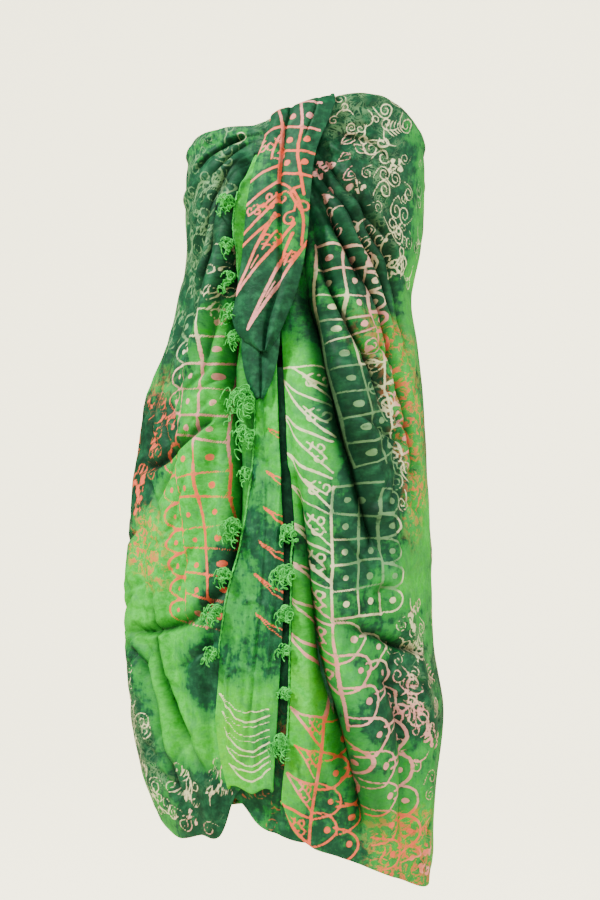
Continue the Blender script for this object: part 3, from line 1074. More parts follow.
# Angle, height, dark, warm, fine lines, yellow, ink
paintTable = (
    (14, 0.005, .85, 0, .4, 0, .45), (22, -0.060, .80, 0, .2, 0, .50), (30, 0.020, .95, 0, .5, 0, .15),
    (48, 0.020, .92, 0, .5, 0, .10),
    (60, 0.020, .62, 0, .4, 0, .05), (75, 0.000, .38, 0, .3, 0, -.5), (88, 0.000, .30, 0, .2, 0, -.5),
    (30, -0.060, .95, 0, .39, 0, .30),
    (48, -0.060, .96, 0, .49, 0, .15), (62, -0.060, .80, 0, .39, 0, .05), (75, -0.060, .40, 0, .2, 0, -.5),
    (88, -0.060, .30, 0, .2, 0, -.5),
    (30, -0.120, .88, 0, .2, 0, .35), (45, -0.120, .96, 0, .41, 0, .20), (58, -0.120, .90, 0, .34, 0, .05),
    (72, -0.120, .42, 0, .2, 0, -.5),
    (40, -0.180, .80, 0, 0, 0, .40), (52, -0.200, .86, 0, 0, 0, .20), (62, -0.200, .70, 0, 0, .3, .05),
    (76, -0.200, .35, 0, 0, .3, -.5),
    (22, -0.150, .55, .1, 0, .2, .35), (25, -0.250, .80, .1, 0, 0, -.9), (30, -0.300, .86, 0, 0, 0, -.9),
    (35, -0.370, .92, 0, 0, 0, -.9),
    (40, -0.420, .90, 0, 0, 0, -.9), (44, -0.480, .90, 0, 0, 0, -.9), (48, -0.520, .80, 0, 0, 0, -.9),
    (36, -0.250, .35, .3, 0, .1, .60),
    (44, -0.270, .30, .5, 0, .1, .60), (18, -0.220, .45, 0, 0, .1, .20), (14, -0.300, .12, 0, 0, .1, .15),
    (13, -0.400, .08, 0, 0, 0, .15),
    (16, -0.450, .12, 0, 0, 0, .30), (20, -0.420, .25, 0, 0, 0, .10), (22, -0.500, .42, 0, 0, 0, .18),
    (24, -0.550, .35, 0, 0, 0, .40),
    (24, -0.600, .20, 0, 0, 0, .55), (25, -0.650, .15, .1, 0, 0, .70), (31, -0.470, .82, 0, 0, 0, -.9),
    (32, -0.550, .86, 0, 0, 0, -.9),
    (35, -0.600, .60, 0, 0, 0, .10), (38, -0.650, .45, 0, 0, 0, .35), (33, -0.680, .25, 0, 0, 0, .60),
    (46, -0.330, .90, 0, 0, 0, -.9),
    (50, -0.380, .92, 0, 0, 0, -.9), (54, -0.450, .86, 0, 0, 0, -.9), (55, -0.260, .20, .8, 0, .1, .80),
    (60, -0.330, .15, 1, 0, .1, .90),
    (68, -0.380, .20, 1, 0, .1, 1), (72, -0.450, .20, .9, 0, .1, 1), (66, -0.500, .30, .5, 0, 0, .8),
    (80, -0.300, .25, .5, 0, .2, .6),
    (50, -0.550, .25, 0, .1, 0, -.9), (60, -0.550, .18, .1, .1, .1, .10), (72, -0.560, .20, .3, .1, .1, .50),
    (45, -0.620, .35, 0, 0, 0, .15),
    (52, -0.620, .50, 0, .34, 0, .15), (62, -0.650, .62, 0, .48, 0, .15),
    (72, -0.630, .40, .1, .43, .1, .20), (42, -0.700, .70, 0, 0, 0, .35),
    (48, -0.730, .86, 0, 0, 0, .40), (55, -0.700, .80, 0, .24, 0, .40), (65, -0.720, .80, 0, .42, 0, .35),
    (50, -0.800, .40, 0, 0, 0, .45),
    (60, -0.800, .30, .1, 0, 0, .55), (45, -0.800, .30, 0, 0, 0, .45), (40, -0.780, .35, 0, 0, 0, .50),
    (12, -0.600, .12, 0, 0, .2, .30),
    (12, -0.700, .06, 0, 0, .5, .40), (12, -0.800, .10, 0, 0, .5, .60), (10, -0.860, .20, 0, 0, .3, 1),
    (18, -0.750, .20, 0, 0, .2, .95),
    (20, -0.820, .70, 0, 0, 0, .90), (24, -0.860, .82, 0, 0, 0, .80), (18, -0.880, .60, 0, 0, 0, .85),
    (28, -0.780, .25, .1, 0, .1, .90),
    (32, -0.850, .30, .2, 0, .1, .90), (30, -0.900, .80, 0, 0, 0, .85), (45, -0.870, .30, .7, 0, .2, .85),
    (55, -0.880, .20, .9, 0, .2, .90),
    (48, -0.920, .35, 1, 0, .1, .90), (60, -0.930, .40, .7, .2, 0, .60), (74, -0.800, .40, .1, .38, 0, .40),
    (80, -0.700, .45, 0, .48, 0, .30),
    (84, -0.550, .30, .1, .2, .2, .30), (84, -0.420, .25, .4, 0, .2, .60), (84, -0.880, .35, .3, .2, .1, .50),
    (-8, -0.010, .60, 0, .5, 0, .10), (-30, 0.000, .50, 0, 0.2, 0, -.6), (-45, -0.020, .52, 0, 0.2, 0, -.6),
    (-60, -0.020, .58, 0, 0.2, 0, -.6),
    (-20, -0.050, .78, 0, 0.1, 0, -.6), (-30, -0.080, .86, 0, .34, 0, -.6),
    (-45, -0.080, .90, 0, .43, 0, -.6), (-65, -0.100, .52, 0, 0.2, 0, -.6),
    (-80, -0.100, .35, 0, 0.1, .1, -.6), (-30, -0.130, .90, 0, .34, 0, -.6),
    (-45, -0.150, .92, 0, .43, 0, -.6), (-55, -0.160, .80, 0, .34, 0, -.6),
    (-14, -0.130, .55, .1, .2, 0, .40), (-15, -0.200, .50, .1, 0, 0, .45),
    (-30, -0.200, .80, 0, 0.2, 0, -.6), (-45, -0.220, .75, 0, .34, 0, -.6),
    (-60, -0.200, .60, 0, 0.2, 0, -.6), (-40, -0.260, .65, .1, 0.1, 0, -.6),
    (-55, -0.270, .78, 0, 0.2, 0, -.6), (-66, -0.250, .60, .1, 0.1, .1, -.6),
    (-20, -0.250, .20, 0, .1, 0, .50), (-18, -0.300, .14, 0, 0, 0, .50), (-25, -0.300, .25, 0, 0, 0, .50),
    (-20, -0.350, .15, 0, 0, 0, .50),
    (-30, -0.350, .12, 0, 0, .1, .50), (-38, -0.300, .60, .1, .3, .1, .40),
    (-50, -0.300, .45, .4, .3, .3, .60), (-55, -0.330, .40, .5, .2, .2, .80),
    (-62, -0.370, .95, .2, .1, 0, 1), (-60, -0.420, .92, .2, 0, 0, 1), (-72, -0.400, .95, .1, .1, 0, 1),
    (-64, -0.470, .88, .1, 0, 0, 1),
    (-78, -0.520, .70, 0, .2, 0, .8), (-50, -0.400, .92, 0, 0, 0, 1), (-46, -0.365, .85, .1, 0, 0, .9),
    (-53, -0.445, .90, 0, 0, 0, 1), (-43, -0.440, .04, .1, 0, 0, .75), (-50, -0.500, .06, .95, 0, 0, .90),
    (-40, -0.500, .04, .25, 0, 0, .90), (-44, -0.550, .05, .85, 0, 0, .90), (-30, -0.440, .06, 0, 0, 0, .80),
    (-30, -0.550, .04, .1, 0, 0, .90),
    (-20, -0.480, .12, .1, 0, 0, .95), (-45, -0.610, .04, 0, 0, .1, .90), (-56, -0.600, .10, .1, 0, .2, .70),
    (-66, -0.600, .15, 0, 0, .2, .30),
    (-78, -0.640, .25, 0, .1, .1, .20), (-30, -0.620, .06, 0, 0, 0, .80), (-15, -0.560, .72, 0, 0, 0, .95),
    (-13, -0.600, .85, 0, 0, 0, .80),
    (-13, -0.640, .75, 0, 0, 0, .70), (-20, -0.670, .90, 0, 0, 0, .50), (-16, -0.700, .82, 0, 0, 0, .40),
    (-23, -0.630, .30, 0, 0, 0, .60),
    (-35, -0.700, .06, 0, 0, .1, .40), (-45, -0.700, .12, 0, 0, .1, .30),
    (-56, -0.700, .60, 0, .42, 0, -.25), (-60, -0.740, .88, 0, .62, 0, -.25),
    (-52, -0.780, .78, 0, .62, 0, -.25), (-48, -0.830, .60, 0, .48, .1, -.25),
    (-70, -0.720, .80, 0, .62, 0, -.25), (-78, -0.780, .70, 0, .62, 0, -.25),
    (-30, -0.770, .06, 0, 0, .2, .30), (-22, -0.750, .14, 0, 0, .2, .30), (-40, -0.760, .10, 0, .1, .1, .20),
    (-35, -0.820, .60, 0, .42, 0, .15),
    (-27, -0.830, .92, 0, .37, 0, .15), (-22, -0.840, .85, 0, .33, 0, .20),
    (-40, -0.860, .40, 0, .2, .1, .30), (-30, -0.870, .80, 0, .27, 0, .45),
    (-50, -0.880, .30, 0, 0.1, .2, -.25), (-66, -0.860, .35, 0, 0.2, .2, -.25),
    (-12, -0.780, .25, 0, 0, .3, .30), (-84, -0.880, .40, 0, 0.2, .1, -.25),
    (-84, -0.250, .50, 0, 0.1, 0, -.6),
)
backTable = [(angle, z, dark, warm, fine, yellow, ink) for (angle, dark, fine, yellow, ink) in (
    (92, .40, .3, .1, .2), (108, .85, .4, 0, .2), (122, .30, .1, .1, .4), (138, .80, 0, 0, .1),
    (152, .60, 0, .1, .5), (168, .15, .1, .2, .6),
    (182, .88, .4, 0, .2), (198, .80, .3, 0, .3), (212, .20, 0, .1, .5), (228, .75, 0, 0, .1),
    (242, .40, .1, .1, .7), (256, .85, .5, 0, .2),
    (268, .50, .4, .1, .2)) for z,
    warm in ((0.0, 0), (-0.10, 0), (-0.2, 0), (-0.3, .1), (-0.4, .3), (-0.5, .1), (-0.6, 0), (-0.7, .1),
    (-0.8, .2), (-0.9, .4))]
backTable = [(angle, z, min(1, max(0, dark + 0.35 * math.sin(angle * 0.9 + z * 17))), warm, fine, yellow, ink)
             for angle, z, dark, warm, fine, yellow, ink in backTable]
# The dye runs on from one stretch to the next
wholeTable = list(paintTable) + backTable
wholeTable += [(row[0] + 360, *row[1:]) for row in paintTable if row[0] < -20]
wholeTable += [(row[0] - 360, *row[1:]) for row in backTable if row[0] > 225]
printOn(leftSheet, leftFlat, frontStrokes, wholeTable)
printOn(rightSheet, rightFlat, frontStrokes, wholeTable)
printOn(backSheet, backFlat, backStrokes, wholeTable)
dress(leftSheet, "front_left_stretch")
dress(rightSheet, "front_right_stretch")
dress(backSheet, "back_stretch")
print("front and back printed")

# The lap that goes on behind the opening
underLap = {
    "columns": 44, "rows": 260,
    "hem": ((-24, -0.814), (-13, -0.834), (-8, -0.858), (2, -0.873), (14, -0.880), (24, -0.878)),
}


def placeUnder(across, down):
    angle = -22 + 46 * across
    z = -0.30 + (readTable(underLap["hem"], angle) + 0.30) * down
    bear = hump((z + 0.30) / 0.05)
    out, slide, _ = reliefOf(frontLeft, angle, z)
    hug = out - 0.0018 - 0.0029 + 0.0013 * bear
    deep = -0.016 + sway(angle, z) + wrinkles(angle, z)
    settle = ease((angle + 20) / 12)
    return formPoint(angle, z, np.minimum(hug, hug * (1 - settle) + deep * settle),
                     slide * (1 - settle)), unroll(angle, z)


underSheet, underFlat = layCloth("under_lap_cloth", underLap, placeUnder, ("hem",))
underStrokes = []
strew(underStrokes, ((2, -0.840, 0.03, 5, "ct"), (-6, -0.800, 0.02, 3, "c"), (14, -0.850, 0.02, 3, "ct")), 31)
underTable = ((0, -0.350, .75, 0, 0, 0, .9), (0, -0.450, .80, .1, 0, 0, .9), (0, -0.600, .75, .2, 0, 0, 1),
              (0, -0.700, .7, .1, 0, 0, 1),
              (4, -0.760, .6, .5, 0, 0, 1), (-6, -0.830, .55, 0, .2, 0, .9), (4, -0.850, .50, .1, .2, 0, .9),
              (16, -0.860, .80, 0, .1, 0, .9))
printOn(underSheet, underFlat, underStrokes, underTable, 0.03)
dress(underSheet, "under_lap", 0.35)

# The tail, which hangs from the knot over the left front
tail = {
    "columns": 48, "rows": 400, "clear": 0.0034,
    "left": ((-0.040, -9.0), (-0.096, -15.0), (-0.176, -15.8), (-0.256, -12.8), (-0.343, -6.6),
             (-0.428, -6.6), (-0.513, -9.2),
             (-0.586, -13.0), (-0.683, -15.8), (-0.744, -17.2), (-0.815, -14.6)),
    "right": ((-0.040, -3.0), (-0.222, -0.4), (-0.320, 1.4), (-0.404, 3.0), (-0.464, 4.4), (-0.536, 5.2),
              (-0.631, 5.0),
              (-0.702, 3.4), (-0.760, 2.2), (-0.815, 1.0)),
    "folds": [
        (((-10, -0.080), (-4.8, -0.400), (-13.2, -0.880)), 0.007, 0.018, 0.018),
        (((-4, -0.200), (2.2, -0.480), (-2.0, -0.880)), 0.005, 0.016, 0.016),
        (((-7, -0.150), (-1.0, -0.480), (-7.5, -0.880)), 0.0030, 0.007, 0.007),
        (((-9, -0.430), (-7.0, -0.600), (-12.0, -0.800)), 0.0022, 0.006, 0.006),
        (((-5, -0.560), (-4.0, -0.700), (-6.0, -0.860)), 0.0020, 0.006, 0.006),
        (((-3, -0.420), (-2.5, -0.560), (-8.5, -0.780)), 0.0050, 0.006, 0.004),
        (((4, -0.400), (2.5, -0.540), (-1.5, -0.720)), 0.0045, 0.005, 0.004),
        (((-11, -0.640), (-13, -0.700), (-12.5, -0.800)), 0.0045, 0.005, 0.004),
        (((-9, -0.600), (-5, -0.585), (1, -0.600)), 0.0026, 0.004, 0.006),
        (((-14, -0.690), (-8, -0.665), (-2, -0.690)), 0.0024, 0.004, 0.006),
    ],
}


def tailPlace(angle, z):
    out, slide, _ = reliefOf(frontLeft, angle, z, grooves=False)
    return formPoint(angle, z, out + tail["clear"] + foldRelief(tail["folds"], angle, z)[0], slide)


def placeTail(across, down):
    z = -0.040 - 0.775 * down + 0.004 * np.sin(9 * across) * ease((down - 0.9) / 0.1)
    left, right = readTable(tail["left"], z), readTable(tail["right"], z)
    angle = left + (right - left) * across
    return tailPlace(angle, z), unroll(angle, z)


tailSheet, tailFlat = layCloth("tail_cloth", tail, placeTail, ("hem", "left", "right"))
tailStrokes = []
for left, high, right, low in ((-1.2, -0.378, 5.6, -0.392), (-2.2, -0.428, 6.2, -0.448),
                               (-2.0, -0.472, 6.4, -0.494),
                               (-3.6, -0.513, 6.6, -0.538), (-4.7, -0.553, 6.6, -0.585),
                               (-4.0, -0.600, 6.0, -0.628)):
    tip, foot = unroll(left, high), unroll(right, low)
    drawn(tailStrokes, bend([tip, (tip + foot) / 2 + (0, 0.003), foot + (0, 0.008)], 9), 0.0013, 0.0006)
    drawn(tailStrokes, bend([tip + (0.001, -0.002), (tip + foot) / 2 - (0, 0.002), foot - (0, 0.002)], 9),
          0.0013, 0.0006)
for k in range(5):  # long feathers that sweep down from the left edge
    start, end = unroll(-15.5 + 0.6 * k, -0.700 - 0.021 * k), unroll(0.5, -0.722 - 0.016 * k)
    drawn(tailStrokes, bend([start, start * 0.72 + end * 0.28 - (0, 0.016), (start + end) / 2 - (0, 0.020),
                             end], 14), 0.0012, 0.0007)
    drawn(tailStrokes, bend([start, start * 0.75 + end * 0.25 - (0, 0.006), (start + end) / 2 - (0, 0.008),
                             end + (0, 0.008)], 14), 0.0011, 0.0007)
tailTable = (
    (-10, -0.100, .15, 0, 0, .1, .9), (-8, -0.160, .10, .1, 0, .1, .9), (-8, -0.230, .15, .1, 0, 0, .9),
    (-4, -0.300, .20, 0, 0, 0, .9),
    (-3, -0.360, .15, 0, 0, 0, .9), (-6, -0.400, .40, 0, 0, 0, .9), (0, -0.400, .12, .1, 0, 0, 1),
    (-7, -0.440, .55, 0, 0, 0, .9),
    (1, -0.460, .30, 0, 0, 0, 1), (-8, -0.500, .62, 0, 0, 0, .9), (2, -0.510, .60, 0, 0, 0, 1),
    (-8, -0.560, .40, 0, 0, 0, .9),
    (2, -0.560, .70, 0, 0, 0, 1), (-10, -0.610, .28, 0, 0, 0, .9), (0, -0.620, .60, 0, 0, 0, 1),
    (-12, -0.660, .55, 0, 0, 0, .3),
    (-3, -0.660, .52, 0, 0, 0, .4), (-13, -0.700, .12, 0, 0, .3, .05), (-4, -0.700, .22, 0, 0, .2, .05),
    (-10, -0.740, .06, 0, 0, .8, .05),
    (-2, -0.750, .45, 0, 0, .1, .10), (-12, -0.790, .08, 0, 0, .7, .05), (-4, -0.795, .12, 0, 0, .4, .05),
    (0, -0.800, .35, .2, 0, .1, .4),
)
printOn(tailSheet, tailFlat, tailStrokes, tailTable, 0.016)
dress(tailSheet, "tail")
print("tail and lap laid")

# The tucked corner over the knot, and its tip. Outline: height, left and right edge, stand off the form.
lappet = {
    "columns": 56, "rows": 220, "crease": 0.013, "lobe": 0.005, "tuck": 0.050, "inside": -0.012,
    "clear": 0.0022,
    "outline": (
        (0.020, -0.006, 0.067, 0.018), (0.000, -0.011, 0.061, 0.020), (-0.035, -0.018, 0.050, 0.022),
        (-0.084, -0.024, 0.045, 0.023),
        (-0.158, -0.031, 0.039, 0.024), (-0.207, -0.039, 0.029, 0.025), (-0.244, -0.044, 0.017, 0.025),
        (-0.266, -0.034, 0.008, 0.024), (-0.284, -0.014, -0.002, 0.023),
    ),
}
lappetTip = {
    "columns": 30, "rows": 70, "crease": -0.012,
    "outline": ((-0.205, -0.030, 0.010, 0.0145), (-0.260, -0.037, 0.009, 0.0150),
                (-0.300, -0.035, 0.005, 0.0150),
                (-0.325, -0.028, -0.002, 0.0140), (-0.340, -0.020, -0.009, 0.0130)),
}


def lobes(x, left, right, crease):
    middle = np.clip(crease, left + 0.3 * (right - left), right - 0.3 * (right - left))
    share = np.where(x < middle, (x - left) / (middle - left), (right - x) / (right - middle))
    pinch = -0.6 * hump(share / 0.5) - 1.1 * hump((1 - share) / 0.12)
    return lappet["lobe"] * (np.sin(np.pi * np.clip(share, 0, 1)) + pinch)


def angleAt(x, z):
    width = np.where(x >= 0, readTable(formTable, z, 2), readTable(formTable, z, 1))
    return np.degrees(np.arcsin(np.clip(x / width, -1, 1)))


def placeLappet(across, down):
    outline = lappet["outline"]
    topZ, lowZ = outline[0][0], outline[-1][0]
    insideShare, bendShare = 0.13, 0.21
    leg = np.clip((down - insideShare - bendShare) / (1 - insideShare - bendShare), 0, 1)
    widthZ = topZ + (lowZ - topZ) * leg
    left, right = readTable(outline, widthZ, 1), readTable(outline, widthZ, 2)
    x = left + (right - left) * across
    angle = angleAt(x, widthZ)
    topStand = readTable(outline, topZ, 3)
    radius = (topStand - lappet["inside"]) / 2
    crown = readTable(topEdge, angleAt(x, 0.0)) + lappet["clear"] + 0.0009
    turn = np.pi * np.clip((down - insideShare) / bendShare, 0, 1)
    height = crown - radius * (1 - np.sin(turn))
    z = height - lappet["tuck"] * np.clip(1 - down / insideShare, 0, 1)
    z = z + (lowZ - (crown - radius)) * leg
    out = lappet["inside"] + radius - radius * np.cos(turn) + (readTable(outline, widthZ,
                                                                         3) - topStand) * ease(leg * 3)
    shown = ease((down - insideShare) / bendShare)
    out = out + lobes(x, left, right, lappet["crease"]) * shown + 0.0009
    # The corner turned back at the top
    folded = hump(np.clip((x - 0.047 - 0.25 * (z - 0.02)) / 0.0035, -1, 1)) * ease((z + 0.045) / 0.03)
    out = out - 0.0045 * shown * folded
    out = out + 0.0009 * shown * softNoise(x, 0.35 * z + 0.3 * x, 0.012,
                                           17) + 0.0005 * shown * softNoise(x, z, 0.02, 12)
    return formPoint(angle, z, out), np.stack([x, z], -1)


def placeTip(across, down):
    outline = lappetTip["outline"]
    z = outline[0][0] + (outline[-1][0] - outline[0][0]) * down
    left, right = readTable(outline, z, 1), readTable(outline, z, 2)
    x = left + (right - left) * across
    out = readTable(outline, z, 3) + 0.6 * lobes(x, left, right, lappetTip["crease"]) + 0.0009
    return formPoint(angleAt(x, z), z, out), np.stack([x, z], -1)


lappetSheet, lappetFlat = layCloth("lappet_cloth", lappet, placeLappet, ("hem", "left", "right"))
tipSheet, tipFlat = layCloth("lappet_tip_cloth", lappetTip, placeTip, ("hem", "left", "right"))
lappetStrokes = []
for k, low in enumerate((0.022, -0.014, -0.046, -0.076)):  # the right lobe's cells
    stroke(lappetStrokes,
           bend([(0.014, low + 0.004), (0.026, low + 0.001), (0.038, low), (0.052, low - 0.003)]), 0.0018)
    for x in (0.022, 0.041):
        if k:
            dot(lappetStrokes, (x - 0.001 * k, low + 0.016), 0.0040)
stroke(lappetStrokes,
       bend([(0.028, 0.030), (0.033, -0.012), (0.030, -0.046), (0.034, -0.072), (0.038, -0.100)]), 0.0018)
stroke(lappetStrokes, bend([(-0.004, 0.030), (0.008, 0.004), (0.011, -0.046), (0.011, -0.080)]), 0.0017)
for high, low in ((0.018, 0.002), (-0.010, -0.024), (-0.062, -0.080), (-0.082, -0.108), (-0.102, -0.142),
                  (-0.122, -0.154)):
    stroke(lappetStrokes, bend([(0.011, high), (-0.004, (high + low) / 2 + 0.001), (-0.040, low - 0.010)]),
           0.0018)
for place, way, size, flip in (((-0.019, -0.050), 20, 0.022, 1), ((0.002, -0.054), 12, 0.024, -1),
                               ((-0.022, -0.122), 55, 0.017, 1),
                               ((-0.004, -0.112), 48, 0.018, -1), ((-0.014, -0.006), 15, 0.014, 1)):
    stamp(lappetStrokes, hookDrawing(size), place, -way, 1.0,
          flip)  # hooked scrolls between the left lobe's lines
for tip, foot, width in (((-0.041, -0.216), (0.018, -0.128), 0.0125),
                         ((-0.024, -0.258), (0.034, -0.150), 0.0085)):
    tip, foot = np.array(tip), np.array(foot)  # long spikes down to the left
    aside = np.array([-(foot - tip)[1], (foot - tip)[0]]) / np.linalg.norm(foot - tip) * width
    stroke(lappetStrokes, bend([foot + aside, (tip + foot) / 2 + 0.50 * aside, tip]), 0.0019)
    stroke(lappetStrokes, bend([foot - aside, (tip + foot) / 2 - 0.50 * aside, tip]), 0.0019)
    way = math.degrees(math.atan2(*(tip - foot)[::-1])) - 90
    stamp(lappetStrokes, hookDrawing(0.020 if width > 0.01 else 0.014), foot * 0.85 + tip * 0.15, way, 1.0)
    stroke(lappetStrokes, [foot * 0.52 + tip * 0.48, foot * 0.36 + tip * 0.64], 0.0017, 0.6)
for x, z, way, flip in ((0.020, -0.096, 150, 1), (0.030, -0.112, 250, -1), (0.021, -0.122, 200, 1)):
    stamp(lappetStrokes, curlDrawing(0.0080, 1.0, 0.008, 0.0015), (x, z), way, 1.0, flip)
for start in ((0.013, -0.084), (0.036, -0.090)):
    stroke(lappetStrokes, bend([start, (0.026, -0.094), (0.037, -0.125), (0.035, -0.160)]), 0.0016)


def paintByPlace(sheet, flat, table, size=0.02):
    rows = np.array(table, float)
    total, sums = np.full(len(flat), 1e-9), np.zeros((len(flat), 5))
    for row in rows:
        weight = np.exp(-((flat - row[:2]) ** 2).sum(1) / (2 * size * size)) + 1e-6
        total += weight
        sums += weight[:, None] * row[2:]
    for name, values in zip(fieldNames, (sums / total[:, None]).T):
        setField(sheet, name, values)


lappetTable = (
    (0.00, 0.02, .78, 0, 0, 0, .75), (0.03, 0.02, .86, 0, 0, 0, .65), (0.06, 0.02, .75, 0, .2, 0, .30),
    (0.00, -0.05, .55, 0, 0, 0, .72),
    (0.04, -0.05, .80, 0, 0, 0, .90), (-0.01, -0.10, .60, 0, 0, 0, .70), (0.035, -0.10, .62, .1, 0, 0, .95),
    (-0.02, -0.16, .82, 0, 0, 0, .75),
    (0.02, -0.15, .40, .1, 0, 0, .95), (-0.025, -0.20, .85, 0, 0, 0, .65), (0.01, -0.21, .86, 0, 0, 0, .60),
    (-0.02, -0.25, .88, 0, 0, 0, .45),
)
setField(lappetSheet, "gap", inkGap(lappetStrokes, lappetFlat))
paintByPlace(lappetSheet, lappetFlat, lappetTable)
setField(tipSheet, "gap", inkGap([], tipFlat))
paintByPlace(tipSheet, tipFlat, ((-0.02, -0.28, .85, 0, .1, 0, .1), (-0.01, -0.33, .80, 0, .2, 0, .1)))
dress(lappetSheet, "lappet")
dress(tipSheet, "lappet_tip")
print("lappet laid")

# The fringe: knotted tufts of curled yarn. Height on the edge, size, how far a tuft stands out, not aside
tailTufts = ((-0.098, 1.1, 1.6), (-0.150, 0.9, 1.6), (-0.190, 1.1, 1.4), (-0.228, 1.2, 1.4),
             (-0.262, 1.1, 1.6), (-0.336, 1.9, 2.6),
             (-0.384, 1.4, 2.6), (-0.430, 0.9, 2.0), (-0.494, 1.4, 1.6), (-0.552, 1.1, 1.6),
             (-0.596, 1.3, 1.6), (-0.648, 1.0, 1.6))
rightTufts = ((-0.500, 1.2, 2.2), (-0.548, 1.5, 2.2), (-0.596, 1.1, 2.2), (-0.640, 0.9, 2.2),
              (-0.692, 0.8, 2.2), (-0.750, 1.3, 2.2))
yarn = {"radius": 0.00080, "strands": 22, "points": 24, "spread": 0.0125, "loop": 0.0034}


def strandPath(start, aim, size, dice):
    aim = np.array(aim) / np.linalg.norm(aim)
    first = np.cross(aim, (0.2, 0.3, 1.0))
    first /= np.linalg.norm(first)
    second = np.cross(aim, first)
    way = dice.uniform(0, 2 * math.pi)
    lean = dice.uniform(0.2, 1.0)
    leader = aim + lean * (math.cos(way) * first + math.sin(way) * second)
    leader /= np.linalg.norm(leader)
    third = np.cross(leader, (dice.uniform(-1, 1), dice.uniform(-1, 1), dice.uniform(-1, 1)))
    third /= np.linalg.norm(third)
    fourth = np.cross(leader, third)
    length = size * dice.uniform(0.4, 1.45) * (0.006 + yarn["spread"])
    turns, phase, loop = dice.uniform(1.4, 3.2), dice.uniform(0,
                                                              6.28), yarn["loop"] * size * dice.uniform(0.5,
                                                                                                        1.2)
    path = []
    for t in np.linspace(0, 1, yarn["points"]):
        wound = loop * min(1, t * 2.2)
        spin = phase + turns * 2 * math.pi * t
        back = 1 - 0.5 * max(0, t - 0.55) ** 1.2
        coil = wound * (math.cos(spin) * third + math.sin(spin) * fourth)
        point = start + leader * length * t * back + coil
        path.append(point - np.array([0, 0, 0.30 * length * t * t]))
    return path


def makeFringe(name, spots, seed, edgePath):
    dice = random.Random(seed)
    bpy.ops.curve.primitive_nurbs_path_add(location=(0, 0, 0))
    curve = bpy.context.object
    curve.name = name
    curve.data.splines.clear()
    paths = []
    for start, aim, size in spots:
        knot = start + np.array(aim) * 0.003 * size
        for _ in range(int(yarn["strands"] * (0.6 + 0.5 * size))):
            paths.append(strandPath(knot, aim, size, dice))
    for wave in (0, 1):  # two yarns twisted along the edge join the tufts
        twist = []
        for k, point in enumerate(edgePath):
            turn = k * 0.9 + wave * math.pi
            twist.append(point + 0.0007 * np.array([math.cos(turn), -abs(math.sin(turn)),
                                                    0.4 * math.sin(turn)]))
        paths.append(twist)
    for path in paths:
        spline = curve.data.splines.new("POLY")
        spline.points.add(len(path) - 1)
        spline.points.foreach_set("co", np.concatenate([np.array(path), np.ones((len(path), 1))], 1).ravel())
    curve.data.dimensions = "3D"
    curve.data.bevel_depth = yarn["radius"]
    curve.data.bevel_resolution = 0
    curve.data.use_fill_caps = True
    bpy.ops.object.convert(target="MESH")
    fringe = bpy.context.object
    bpy.ops.object.shade_smooth()
    bpy.ops.object.select_all(action="DESELECT")
    print("made", name, sum(len(face.vertices) - 2 for face in fringe.data.polygons), "triangles")
    return fringe


def yarnMaterial(name, pale, full):
    material = bpy.data.materials.new(name)
    material.use_nodes = True
    tree = material.node_tree
    shader = tree.nodes["Principled BSDF"]
    place = wire(tree, "ShaderNodeTexCoord", out=3)
    mottle = noise(tree, place, 130, 3)
    colour = blendColour(tree, blur(tree, mottle, 0.3, 0.7), full, pale)
    tree.links.new(colour, shader.inputs["Base Color"])
    shader.inputs["Roughness"].default_value = 0.75
    height = noise(tree, place, 1400, 2)
    tree.links.new(wire(tree, "ShaderNodeBump", {"Strength": 0.5, "Distance": 0.0004, "Height": height}),
                   shader.inputs["Normal"])
    return material


def tuftSpots(tufts, edgeAt, aside):
    spots = []
    for z, size, lift in tufts:
        start, outward = edgeAt(z)
        aim = aside * np.array([-outward[1], outward[0], 0]) + lift * outward + np.array([0, 0, -0.2])
        spots.append((start, aim / np.linalg.norm(aim), size))
    return spots


def tailEdge(z):
    angle = readTable(tail["left"], np.array([z]))
    turn = math.radians(float(angle[0]))
    return tailPlace(angle - 0.5, np.array([z]))[0], np.array([math.sin(turn), -math.cos(turn), 0])


def rightEdge(z):
    angle = readTable(frontRight["edge"], np.array([z]))
    turn = math.radians(float(angle[0]))
    out, slide, _ = reliefOf(frontRight, angle - 0.5, np.array([z]))
    return formPoint(angle - 0.5, np.array([z]), out,
                     slide)[0], np.array([math.sin(turn), -math.cos(turn), 0])


tailFringe = makeFringe("fringe_tail_yarn", tuftSpots(tailTufts, tailEdge, -1), 4,
                        [tailEdge(z)[0] for z in np.arange(-0.088, -0.660, -0.0022)])
rightFringe = makeFringe("fringe_right_yarn", tuftSpots(rightTufts, rightEdge, -1), 9,
                         [rightEdge(z)[0] for z in np.arange(-0.490, -0.762, -0.0022)])
for fringe, node in ((tailFringe, "fringe_tail"), (rightFringe, "fringe_right")):
    fringe.data.materials.clear()
    fringe.data.materials.append(yarnMaterial(node + "_yarn", (0.060, 0.640, 0.075), (0.010, 0.300, 0.022)))
    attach(fringe, "root")
    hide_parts(node)
print("fringe made")

# The sarong is one rectangle of cloth. Each stretch is declared with the part of it that it uses.
for sheet in (leftSheet, rightSheet, backSheet, underSheet, tailSheet, lappetSheet, tipSheet):
    print(sheet.name, "area", round(sum(face.area for face in sheet.data.polygons), 4))

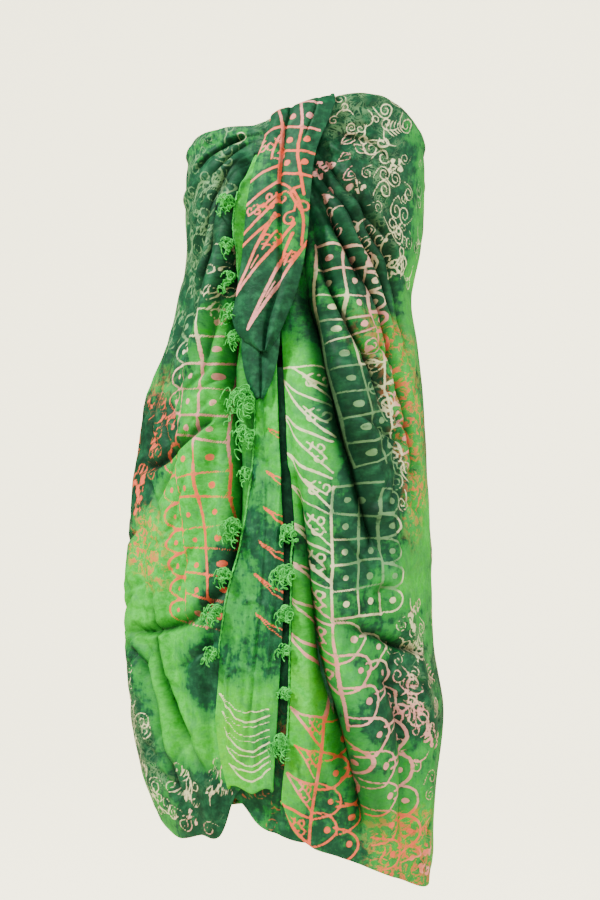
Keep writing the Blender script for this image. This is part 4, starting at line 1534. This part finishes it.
# Backdrop, light and camera
stage = {"size": 14, "floor": -1.32, "wall": 3.2, "bend": 1.4, "colour": (0.90, 0.84, 0.60), "glow": 3.8,
         "seenSky": 4.2, "skyLight": 0.09}
bpy.ops.mesh.primitive_grid_add(x_subdivisions=1, y_subdivisions=60, size=stage["size"])
backdrop = bpy.context.object
backdrop.name = "studio_backdrop"
corners = np.empty(len(backdrop.data.vertices) * 3)
backdrop.data.vertices.foreach_get("co", corners)
corners = corners.reshape(-1, 3)
along = corners[:, 1] + stage["size"] / 2
straight = stage["size"] / 2 + stage["wall"] - stage["bend"]
turned = np.clip((along - straight) / stage["bend"], 0, np.pi / 2)
corners[:, 1] = np.minimum(along, straight) - stage["size"] / 2 + stage["bend"] * np.sin(turned)
past = np.maximum(along - straight - stage["bend"] * np.pi / 2, 0)
corners[:, 2] = stage["floor"] + stage["bend"] * (1 - np.cos(turned)) + past * 2
backdrop.data.vertices.foreach_set("co", corners.ravel())
backdrop.data.shade_smooth()
backdrop.data.update()
pale = bpy.data.materials.new("pale_studio")
pale.use_nodes = True
paleShader = pale.node_tree.nodes["Principled BSDF"]
paleShader.inputs["Base Color"].default_value = (*stage["colour"], 1)
paleShader.inputs["Roughness"].default_value = 0.9
paleShader.inputs["Emission Color"].default_value = (*stage["colour"], 1)
# The glow is for the camera only, so that it does not flatten the folds
seen = wire(pale.node_tree, "ShaderNodeLightPath")
pale.node_tree.links.new(calc(pale.node_tree, "MULTIPLY", seen, stage["glow"]),
                         paleShader.inputs["Emission Strength"])
backdrop.data.materials.append(pale)
backdrop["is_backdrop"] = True

# Place, size, power
lamps = {
    "key": ((-1.35, -1.55, 1.45), 0.35, 150),
    "fill": ((0.5, -2.5, 0.3), 0.9, 34),
    "side": ((2.2, -0.6, 0.5), 0.8, 60),
}
for name, (place, size, power) in lamps.items():
    bpy.ops.object.light_add(type="AREA", location=place)
    lamp = bpy.context.object
    lamp.name = name
    lamp.data.size = size
    lamp.data.energy = power
    aim = np.array((0, 0, -0.4)) - np.array(place)
    flatAim = math.hypot(aim[0], aim[1])
    lamp.rotation_euler = (math.atan2(flatAim, -aim[2]), 0, math.atan2(aim[1], aim[0]) - math.pi / 2)
world = bpy.data.worlds.new("studio")
bpy.context.scene.world = world
world.use_nodes = True
world.node_tree.nodes["Background"].inputs["Color"].default_value = (*stage["colour"], 1)
direct = wire(world.node_tree, "ShaderNodeLightPath")
strength = calc(world.node_tree, "MULTIPLY_ADD", direct, stage["seenSky"], stage["skyLight"])
world.node_tree.links.new(strength, world.node_tree.nodes["Background"].inputs["Strength"])

view = {"distance": 1.5, "azimuth": 14, "height": -0.44, "lens": 45, "shift": 30 / 900}
turn = math.radians(view["azimuth"])
bpy.ops.object.camera_add(location=(math.sin(turn) * view["distance"], -math.cos(turn) * view["distance"],
                                    view["height"]),
                          rotation=(math.pi / 2, 0, turn))
camera = bpy.context.object
camera.data.sensor_fit = "VERTICAL"
camera.data.sensor_height = 36
camera.data.lens = view["lens"]
camera.data.shift_y = view["shift"]
bpy.context.scene.camera = camera

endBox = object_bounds()
{"cad": [list(corner) for corner in startBox], "scene": [list(corner) for corner in endBox]}
print("boxes", [[round(value, 4) for value in corner] for corner in (*startBox, *endBox)])
